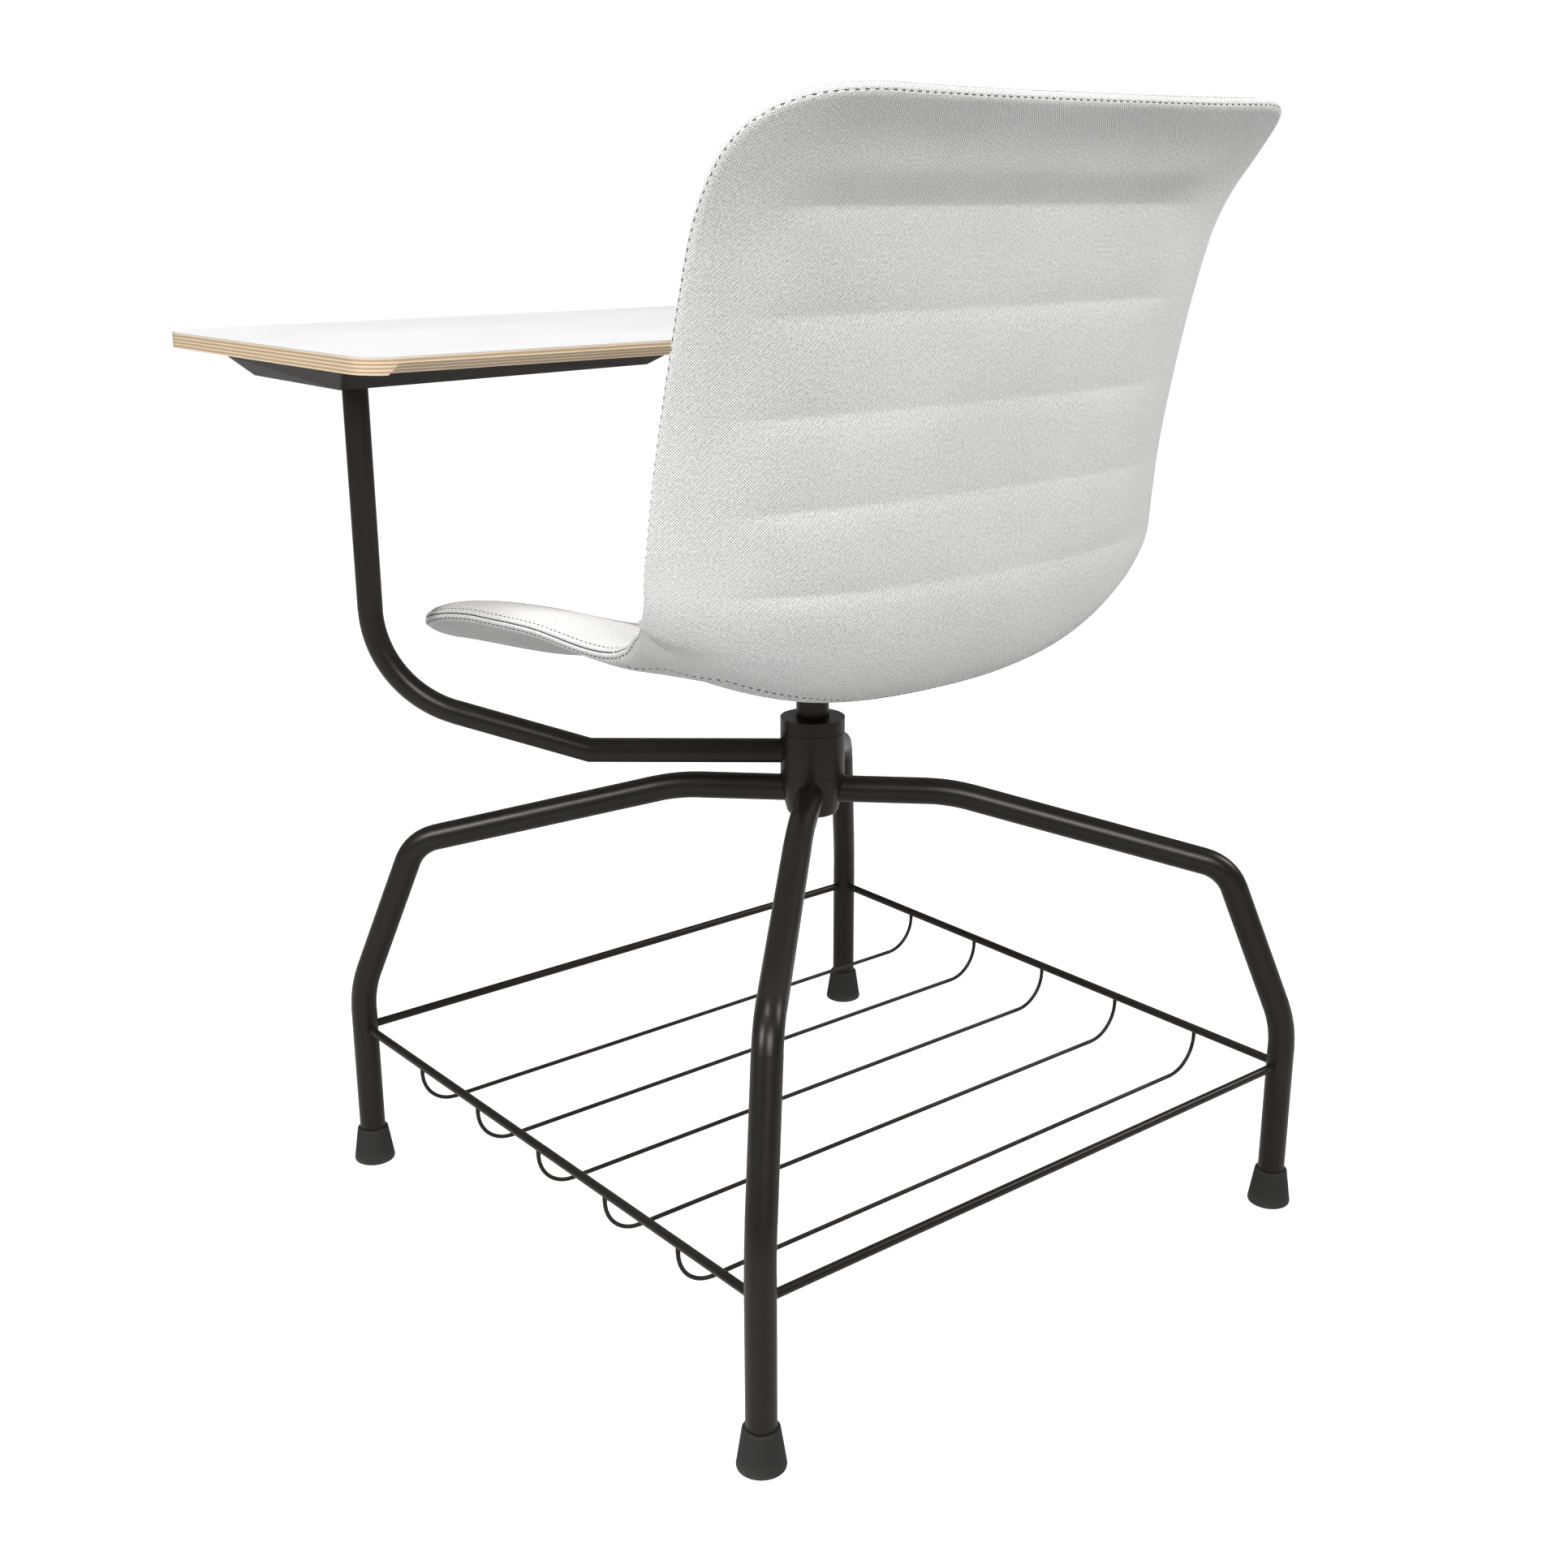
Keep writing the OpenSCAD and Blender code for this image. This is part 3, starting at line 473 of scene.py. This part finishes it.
    weave_ring = np.stack([across_length(ring[:, 0], ring[:, 1]), ring[:, 1]], -1)
    to_rim = run[-1] - run
    strip_weave = weave_ring - to_rim[..., None] * RIM_IN
    weave_inner = np.stack([across_length(x, d), d], -1)
    back_weave = np.repeat(strip_weave[:1], len(back_rings), axis=0)
    weave = np.concatenate([
        back_weave.reshape(-1, 2), strip_weave.reshape(-1, 2), weave_inner, weave_inner,
    ])
    weave = np.concatenate([weave, np.zeros((len(weave), 1))], 1)
    return make_mesh(f"upholstery_{which}", points, faces, weave), skin, run, facing


# ---------- Seam thread and topstitching ----------

STITCH_PITCH = 6.3
STITCH_LENGTH = 2.7
STITCH_R = 0.42
STITCH_LIFT, STITCH_SAG, STITCH_SWAY = 0.28, 0.9, 0.12


def tube_round_rim(name, centre, radius, sides=8):
    """A closed tube that follows a closed line of points."""
    count = len(centre)
    along = unit(np.roll(centre, -1, 0) - np.roll(centre, 1, 0))
    up = normal(RIM_X, RIM_D)
    u = unit(np.cross(along, up))
    v = np.cross(u, along)
    points = []
    for k in range(sides):
        a = 2 * math.pi * k / sides
        points.append(centre + radius * (math.cos(a) * u + math.sin(a) * v))
    points = np.stack(points, 1).reshape(-1, 3)
    faces = []
    for s in range(count):
        t = (s + 1) % count
        for k in range(sides):
            m = (k + 1) % sides
            faces.append((s * sides + k, s * sides + m, t * sides + m, t * sides + k))
    return make_mesh(name, points, faces)


def on_strip(skin, run, facing, line):
    """Points at a set distance from the seam, all the way round, and the way each faces."""
    place, face = np.empty((RIM_COUNT, 3)), np.empty((RIM_COUNT, 3))
    for s in range(RIM_COUNT):
        for axis in range(3):
            place[s, axis] = np.interp(line[s], run[:, s], skin[:, s, axis])
            face[s, axis] = np.interp(line[s], run[:, s], facing[:, s, axis])
    return place, unit(face)


def stitches(name, place, face, closed=True):
    """Short threads lying along a line of points, which face the way given."""
    if closed:
        place, face = np.concatenate([place, place[:1]]), np.concatenate([face, face[:1]])
    length = np.concatenate([[0], np.cumsum(np.linalg.norm(np.diff(place, axis=0), axis=1))])
    number = int(round(length[-1] / STITCH_PITCH))
    sides = 6
    hoops = [(-0.5, 0.45), (-0.4, 0.85), (0.0, 1.0), (0.4, 0.85), (0.5, 0.45)]
    read = lambda at, table: np.array([np.interp(at, length, table[:, axis]) for axis in range(3)])
    points, faces = [], []
    for i in range(number):
        at = (i + 0.5) * length[-1] / number
        p = read(at, place)
        w = unit(read(at, face))
        u = unit(read(at + 0.6, place) - read(at - 0.6, place))
        v = np.cross(w, u)
        sway = STITCH_SWAY * math.sin(i * 2.4)
        first = len(points)
        for share, width in hoops:
            lift = STITCH_LIFT - STITCH_SAG * abs(share) ** 2
            c = p + u * share * STITCH_LENGTH + w * lift + v * sway * share
            for k in range(sides):
                a = 2 * math.pi * k / sides
                points.append(c + STITCH_R * width * (math.cos(a) * v + math.sin(a) * w))
        for h in range(len(hoops) - 1):
            for k in range(sides):
                m = (k + 1) % sides
                a = first + h * sides
                faces.append((a + k, a + m, a + sides + m, a + sides + k))
        faces.append(tuple(first + k for k in reversed(range(sides))))
        last = first + (len(hoops) - 1) * sides
        faces.append(tuple(last + k for k in range(sides)))
    return make_mesh(name, np.array(points), faces)


# ---------- Materials ----------


class Paint:
    """A material under construction."""

    def __init__(self, name, **values):
        self.material = bpy.data.materials.new(name)
        self.material.use_nodes = True
        self.nodes = self.material.node_tree.nodes
        self.links = self.material.node_tree.links
        self.shader = self.nodes["Principled BSDF"]
        for key, value in values.items():
            self.shader.inputs[key.replace("_", " ")].default_value = value

    def add(self, kind, values=None, **settings):
        node = self.nodes.new("ShaderNode" + kind)
        for key, value in settings.items():
            setattr(node, key, value)
        for key, value in (values or {}).items():
            if isinstance(value, bpy.types.NodeSocket):
                self.links.new(value, node.inputs[key])
            else:
                node.inputs[key].default_value = value
        return node

    def math(self, operation, a, b=0.0, c=0.0):
        return self.add("Math", {0: a, 1: b, 2: c}, operation=operation).outputs[0]

    def noise(self, vector, scale, detail=3.0, roughness=0.55):
        values = {"Vector": vector, "Scale": scale, "Detail": detail, "Roughness": roughness}
        return self.add("TexNoise", values).outputs["Fac"]

    def mix(self, factor, a, b):
        """A colour between a and b by a factor; b may be a plain colour."""
        node = self.add("Mix", {"Factor": factor}, data_type="RGBA")
        ends = {entry.name: entry for entry in node.inputs if entry.type == "RGBA"}
        self.links.new(a, ends["A"])
        if isinstance(b, bpy.types.NodeSocket):
            self.links.new(b, ends["B"])
        else:
            ends["B"].default_value = (*b, 1)
        return next(entry for entry in node.outputs if entry.type == "RGBA")

    def scaled(self, vector, by):
        """A vector times a number on each axis."""
        return self.add("VectorMath", {0: vector, 1: by}, operation="MULTIPLY").outputs[0]

    def ramp(self, fac, stops):
        node = self.add("ValToRGB", {"Fac": fac})
        band = node.color_ramp
        while len(band.elements) < len(stops):
            band.elements.new(0.5)
        for element, (at, colour) in zip(band.elements, stops):
            element.position = at
            element.color = (*colour, 1)
        return node.outputs["Color"]

    def to(self, socket, name):
        self.links.new(socket, self.shader.inputs[name])

    def bump(self, height, strength, distance):
        values = {"Height": height, "Strength": strength, "Distance": distance}
        return self.add("Bump", values).outputs["Normal"]


def grey(v, warm=0.0):
    """A grey of linear value v, redder where warm is above 0."""
    return (v * (1 + warm), v, v * (1 - warm))


def fabric(name, light, dark, pitch):
    """A close two-tone weave, with its pitch in metres."""
    p = Paint(name, Roughness=0.88, Sheen_Weight=0.18, Sheen_Roughness=0.45)
    at = p.add("Attribute", attribute_name="weave").outputs["Vector"]
    drift = p.add("TexNoise", {"Vector": at, "Scale": 140.0, "Detail": 2.0}).outputs["Color"]
    drift = p.add("VectorMath", {0: drift, 1: (0.5, 0.5, 0.5)}, operation="SUBTRACT").outputs[0]
    drift = p.add("VectorMath", {0: drift, "Scale": pitch * 0.5}, operation="SCALE").outputs[0]
    moved = p.add("VectorMath", {0: at, 1: drift}, operation="ADD").outputs[0]
    split = p.add("SeparateXYZ", {0: moved})
    k = 2 * math.pi / pitch
    warp = p.math("SINE", p.math("MULTIPLY", split.outputs[0], k))
    weft = p.math("SINE", p.math("MULTIPLY", split.outputs[1], k))
    dots = p.math("MULTIPLY", warp, weft)
    diagonal = p.math("ADD", split.outputs[0], split.outputs[1])
    slant = p.math("SINE", p.math("MULTIPLY", diagonal, k / 2))
    height = p.math("MULTIPLY_ADD", dots, 0.44, p.math("MULTIPLY_ADD", slant, 0.05, 0.5))
    fuzz = p.noise(at, 2600.0, 2.0)
    shade = p.math("MULTIPLY_ADD", p.math("SUBTRACT", fuzz, 0.5), 0.35, height)
    slub = p.noise(at, 480.0, 3.0, 0.7)
    shade = p.math("MULTIPLY_ADD", p.math("SUBTRACT", slub, 0.5), 0.75, shade)
    tone = p.noise(at, 9.0, 3.0)
    shade = p.math("MULTIPLY_ADD", p.math("SUBTRACT", tone, 0.5), 0.16, shade)
    middle_tone = tuple((a + b) / 2 for a, b in zip(light, dark))
    p.to(p.ramp(shade, [(0.12, dark), (0.42, middle_tone), (0.72, light)]), "Base Color")
    p.to(p.math("MULTIPLY_ADD", shade, -0.1, 0.93), "Roughness")
    fine = p.bump(p.math("MULTIPLY_ADD", fuzz, 0.3, height), 0.6, 0.0006)
    p.to(fine, "Normal")
    return p.material


def powder_coat():
    """Black baked powder with a fine orange-peel surface."""
    p = Paint("powder_coat_black", Roughness=0.36, IOR=1.38, Specular_Tint=(1.0, 0.93, 0.91, 1.0))
    at = p.add("TexCoord").outputs["Object"]
    peel = p.noise(at, 900.0, 2.0)
    slow = p.noise(at, 14.0, 3.0)
    speck = p.noise(at, 4200.0, 1.0)
    p.to(p.ramp(slow, [(0.3, grey(0.0065, 0.12)), (0.7, grey(0.0095, 0.12))]), "Base Color")
    p.to(p.math("MULTIPLY_ADD", slow, 0.12, 0.27), "Roughness")
    height = p.math("MULTIPLY_ADD", speck, 0.25, peel)
    p.to(p.bump(height, 0.22, 0.00025), "Normal")
    return p.material


def rubber():
    """Dark rubber, paler with dust near the floor."""
    p = Paint("foot_rubber_grey", Roughness=0.8, IOR=1.45)
    at = p.add("TexCoord").outputs["Object"]
    z = p.add("SeparateXYZ", {0: at}).outputs[2]
    grain = p.noise(at, 1500.0, 2.0)
    dust = p.noise(at, 60.0, 4.0)
    low = p.math("SUBTRACT", 1.0, p.math("MULTIPLY", z, 1 / 0.012))
    low = p.add("Clamp", {0: low}).outputs[0]
    worn = p.math("MULTIPLY", low, dust)
    shade = p.math("MULTIPLY_ADD", grain, 0.25, p.math("MULTIPLY", worn, 0.9))
    stops = [(0.0, grey(0.012, 0.03)), (0.35, grey(0.022, 0.03)), (0.9, grey(0.075, 0.06))]
    p.to(p.ramp(shade, stops), "Base Color")
    p.to(p.math("MULTIPLY_ADD", grain, 0.2, 0.68), "Roughness")
    p.to(p.bump(grain, 0.35, 0.0003), "Normal")
    return p.material


def plywood():
    """Layers by height through the board, with grain along X or Y in turn."""
    low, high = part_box("tablet_board")
    layers = 9
    thick = (high.z - low.z) / layers
    p = Paint("birch_ply_layers", Roughness=0.55, IOR=1.45)
    at = p.add("TexCoord").outputs["Object"]
    xyz = p.add("SeparateXYZ", {0: at})
    sway = p.math("SUBTRACT", p.noise(p.scaled(at, (18.0, 18.0, 4.0)), 1.0, 2.0), 0.5)
    z = p.math("SUBTRACT", xyz.outputs[2], low.z)
    layer = p.math("MULTIPLY_ADD", sway, 0.5, p.math("MULTIPLY", z, 1 / thick))
    number = p.math("FLOOR", layer)
    odd = p.math("MODULO", p.math("ADD", number, 10.0), 2.0)
    edge = p.math("PINGPONG", layer, 0.5)
    glue = p.math("SUBTRACT", 1.0, p.math("SMOOTH_MIN", 1.0, p.math("MULTIPLY", edge, 9.0), 0.2))
    grain_x = p.noise(p.scaled(at, (120.0, 900.0, 2600.0)), 1.0, 4.0, 0.6)
    grain_y = p.noise(p.scaled(at, (2200.0, 2200.0, 2600.0)), 1.0, 3.0, 0.6)
    pale = p.ramp(grain_x, [(0.25, (0.63, 0.485, 0.325)), (0.75, (0.79, 0.66, 0.485))])
    dark = p.ramp(grain_y, [(0.25, (0.36, 0.25, 0.145)), (0.75, (0.545, 0.40, 0.255))])
    p.to(p.mix(glue, p.mix(odd, pale, dark), (0.2, 0.125, 0.07)), "Base Color")
    p.to(p.math("MULTIPLY_ADD", grain_y, 0.25, 0.42), "Roughness")
    p.to(p.bump(p.math("MULTIPLY_ADD", odd, 0.5, grain_y), 0.3, 0.0002), "Normal")
    return p.material


def laminate():
    """White high-pressure laminate with a slight satin texture."""
    p = Paint("laminate_white", Roughness=0.38, IOR=1.5)
    at = p.add("TexCoord").outputs["Object"]
    fine = p.noise(at, 2400.0, 2.0)
    slow = p.noise(at, 7.0, 4.0)
    p.to(p.ramp(slow, [(0.3, grey(0.58)), (0.7, grey(0.605))]), "Base Color")
    p.to(p.math("MULTIPLY_ADD", slow, 0.14, 0.31), "Roughness")
    p.to(p.bump(fine, 0.12, 0.0001), "Normal")
    return p.material


def plastic(name, shade, roughness):
    """Moulded plastic of one grey."""
    p = Paint(name, Roughness=roughness, IOR=1.46)
    at = p.add("TexCoord").outputs["Object"]
    grain = p.noise(at, 1800.0, 2.0)
    slow = p.noise(at, 30.0, 3.0)
    p.to(p.ramp(slow, [(0.3, grey(shade * 0.85)), (0.7, grey(shade * 1.15))]), "Base Color")
    p.to(p.math("MULTIPLY_ADD", grain, 0.15, roughness - 0.08), "Roughness")
    p.to(p.bump(grain, 0.2, 0.0002), "Normal")
    return p.material


def steel():
    """Zinc-plated steel with fine turned lines."""
    p = Paint("steel_zinc", Metallic=1.0, Roughness=0.32)
    at = p.add("TexCoord").outputs["Object"]
    brushed = p.noise(p.scaled(at, (300.0, 300.0, 5200.0)), 1.0, 3.0)
    slow = p.noise(at, 40.0, 3.0)
    p.to(p.ramp(slow, [(0.3, grey(0.46)), (0.7, grey(0.62))]), "Base Color")
    p.to(p.math("MULTIPLY_ADD", brushed, 0.22, 0.24), "Roughness")
    p.to(p.bump(brushed, 0.15, 0.0001), "Normal")
    return p.material


def thread(name, shade):
    """Sewing thread of one colour, with its twist as noise; it also colours the seam's dark strip of
    painted shade.
    """
    p = Paint(name, Roughness=0.75, Sheen_Weight=0.1)
    at = p.add("TexCoord").outputs["Object"]
    ply = p.noise(at, 3500.0, 2.0)
    p.to(p.ramp(ply, [(0.25, shade), (0.75, tuple(1.7 * c for c in shade))]), "Base Color")
    p.to(p.bump(ply, 0.4, 0.0002), "Normal")
    return p.material


SEAT_FABRIC = fabric("fabric_light_grey", grey(0.83, 0.004), grey(0.20, 0.004), 0.0019)
PAINTS = {
    "powder_coat": powder_coat(),
    "bright_steel": steel(),
    "foot_rubber": rubber(),
    "bush_plastic": plastic("bush_plastic_grey", 0.035, 0.5),
    "core_plastic": plastic("core_plastic_grey", 0.09, 0.55),
    "seat_fabric": SEAT_FABRIC,
    "birch_ply": plywood(),
    "white_laminate": laminate(),
}
# Nodes that aren't powder coated
NODE_SLOTS = {
    "hub_stem": "bright_steel",
    "spindle_bolt": "bright_steel",
    "bolt_washer": "bright_steel",
    "seat_plate": "bright_steel",
    "seat_screws": "bright_steel",
    "tablet_screws": "bright_steel",
    "washer_lower": "bush_plastic",
    "washer_upper": "bush_plastic",
    "spindle_thrust_washer": "bush_plastic",
    "spindle_bush_lower": "bush_plastic",
    "spindle_bush_upper": "bush_plastic",
    "collar_bush_lower": "bush_plastic",
    "collar_bush_upper": "bush_plastic",
    "shell_core": "core_plastic",
    "front_upholstery": "seat_fabric",
    "rear_upholstery": "seat_fabric",
    "tablet_board": "birch_ply",
    "tablet_laminate": "white_laminate",
}


def paint_cad_nodes():
    """Puts each CAD node's material in all of its slots."""
    for node_name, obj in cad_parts.items():
        usual = "foot_rubber" if node_name.startswith("foot_") else "powder_coat"
        paint = PAINTS[NODE_SLOTS.get(node_name, usual)]
        if not obj.material_slots:
            obj.data.materials.append(paint)
        for entry in obj.material_slots:
            entry.material = paint


paint_cad_nodes()


# ---------- Upholstery pieces ----------

# The seam's material is painted shade: near black, for a strip sunk in the gap between the two covers so
# that the gap reads as a crisp dark line.
SEAM_SHADE_PAINT = thread("seam_painted_shade", (0.02, 0.019, 0.018))
STITCH_TONE = thread("stitch_dark", (0.035, 0.027, 0.024))

CROSS_ROW_END, CROSS_ROW_POINTS = 213, 853
# Depth and radius of the dark strip of painted shade in the rim's seam gap.
SHADE_STRIP_SINK, SHADE_STRIP_R = 1.0, 0.75


def finish_thread(piece, paint):
    """Gives a row of stitches, or the seam's dark strip of painted shade, its material and its body."""
    piece.data.materials.append(paint)
    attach(piece, "seat")


seam_line, seam_face = 0, 0
for which in ("front", "rear"):
    piece, skin, run, facing = cover(which)
    piece.data.materials.append(SEAT_FABRIC)
    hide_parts(f"{which}_upholstery")
    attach(piece, "seat")
    place, face = on_strip(skin, run, facing, stitch_line(RIM_D, which))
    finish_thread(stitches(f"topstitch_{which}", place, face), STITCH_TONE)
    seam_line, seam_face = seam_line + skin[0] / 2, seam_face + facing[0]

# A dark tube of painted shade, sunk just inside the gap where the front and rear covers meet.
shade_strip_place = seam_line - SHADE_STRIP_SINK * unit(seam_face)
finish_thread(tube_round_rim("rim_seam_painted_shade", shade_strip_place, SHADE_STRIP_R), SEAM_SHADE_PAINT)


def underside_row():
    """Points along the topstitching below the underside seam, and the way each faces."""
    x = np.linspace(-CROSS_ROW_END, CROSS_ROW_END, CROSS_ROW_POINTS)
    slope = cross_slope(x)
    d = cross_seam(x) + CROSS_STITCH_OFF / np.hypot(1, slope)
    x = x - CROSS_STITCH_OFF * slope / np.hypot(1, slope)
    out = -normal(x, d)
    from_rim = rim_distance(x, d)
    nose = np.sqrt(1 - np.clip(1 - from_rim / RIM_BAND, 0, 1) ** 2)
    height = thickness(d, from_rim, "rear") * nose + rib_offset(x, d, from_rim, "rear")
    return middle(x, d) + height[:, None] * out, out


row_place, row_face = underside_row()
finish_thread(stitches("topstitch_underside", row_place, row_face, closed=False), STITCH_TONE)


# ---------- Floor, light and camera ----------


def floor():
    """A pale ground that the camera sees as near white, and that gives the chair less light than that."""
    size, cuts = 30.0, 8
    points, faces = [], []
    for i in range(cuts + 1):
        for j in range(cuts + 1):
            points.append((size * (2 * i / cuts - 1), size * (2 * j / cuts - 1), 0.0))
    for i in range(cuts):
        for j in range(cuts):
            a = i * (cuts + 1) + j
            faces.append((a, a + cuts + 1, a + cuts + 2, a + 1))
    mesh = bpy.data.meshes.new("studio_floor")
    mesh.from_pydata(points, [], faces)
    plate = bpy.data.objects.new("studio_floor", mesh)
    bpy.context.scene.collection.objects.link(plate)
    p = Paint("floor_pale", Roughness=0.9, Specular_IOR_Level=0.1)
    at = p.add("TexCoord").outputs["Object"]
    tone = p.noise(at, 2.0, 2.0)
    p.to(p.ramp(tone, [(0.2, grey(0.42)), (0.8, grey(0.44))]), "Base Color")
    seen = p.add("LightPath").outputs["Is Camera Ray"]
    strength = p.math("MULTIPLY_ADD", seen, 0.81, 0.14)
    glow = p.add("Emission", {"Color": (1, 1, 1, 1), "Strength": strength})
    both = p.add("AddShader", {0: p.shader.outputs[0], 1: glow.outputs[0]})
    p.links.new(both.outputs[0], p.nodes["Material Output"].inputs["Surface"])
    mesh.materials.append(p.material)


def area_light(name, place, target, size, power):
    """A rectangular lamp at a place, turned to a target; its size in metres and its power in watts."""
    light = bpy.data.lights.new(name, "AREA")
    light.shape = "RECTANGLE"
    light.size, light.size_y = size
    light.energy = power
    lamp = bpy.data.objects.new(name, light)
    lamp.location = place
    lamp.rotation_mode = "QUATERNION"
    lamp.rotation_quaternion = (Vector(target) - Vector(place)).to_track_quat("-Z", "Y")
    bpy.context.scene.collection.objects.link(lamp)


def sky():
    """White where the camera sees it, and a dim even light everywhere else."""
    world = bpy.data.worlds.new("studio")
    bpy.context.scene.world = world
    world.use_nodes = True
    nodes, links = world.node_tree.nodes, world.node_tree.links
    background = nodes["Background"]
    background.inputs["Color"].default_value = (1, 1, 1, 1)
    background.inputs["Strength"].default_value = 0.21
    seen = nodes.new("ShaderNodeBackground")
    seen.inputs["Color"].default_value = (1, 1, 1, 1)
    seen.inputs["Strength"].default_value = 1.0
    path = nodes.new("ShaderNodeLightPath")
    mix = nodes.new("ShaderNodeMixShader")
    links.new(path.outputs["Is Camera Ray"], mix.inputs[0])
    links.new(background.outputs[0], mix.inputs[1])
    links.new(seen.outputs[0], mix.inputs[2])
    links.new(mix.outputs[0], nodes["World Output"].inputs["Surface"])


floor()
sky()
area_light("key", (0.9, 2.5, 2.1), (0, 0.1, 0.6), (1.1, 0.9), 58)
area_light("top", (0.2, -0.3, 3.2), (0, 0.1, 0.5), (1.2, 1.2), 72)
area_light("left", (2.8, 0.0, 2.3), (0, 0.1, 0.5), (0.8, 1.2), 68)
area_light("right", (-2.6, 1.4, 2.3), (0, 0.1, 0.5), (0.8, 1.2), 36)
bpy.context.scene.view_settings.view_transform = "Standard"

LENS, SENSOR, FAR = 43.27, 36.0, 200.0
CAMERA_FROM_HUB = (0.9499, 1.1274, 0.82625)
CAMERA_AZIMUTH, CAMERA_TILT, CAMERA_ROLL = 140.79, 72.523, -0.137

camera = bpy.data.objects.new("camera", bpy.data.cameras.new("camera"))
camera.data.lens = LENS
camera.data.sensor_width = SENSOR
camera.data.clip_end = FAR
camera.location = (HUB[0] + CAMERA_FROM_HUB[0], HUB[1] + CAMERA_FROM_HUB[1], CAMERA_FROM_HUB[2])
heading = Matrix.Rotation(math.radians(CAMERA_AZIMUTH), 3, "Z")
tilt = Matrix.Rotation(math.radians(CAMERA_TILT), 3, "X")
roll = Matrix.Rotation(math.radians(CAMERA_ROLL), 3, "Z")
turned = heading @ tilt @ roll
camera.rotation_mode = "QUATERNION"
camera.rotation_quaternion = turned.to_quaternion()
bpy.context.scene.collection.objects.link(camera)
bpy.context.scene.camera = camera
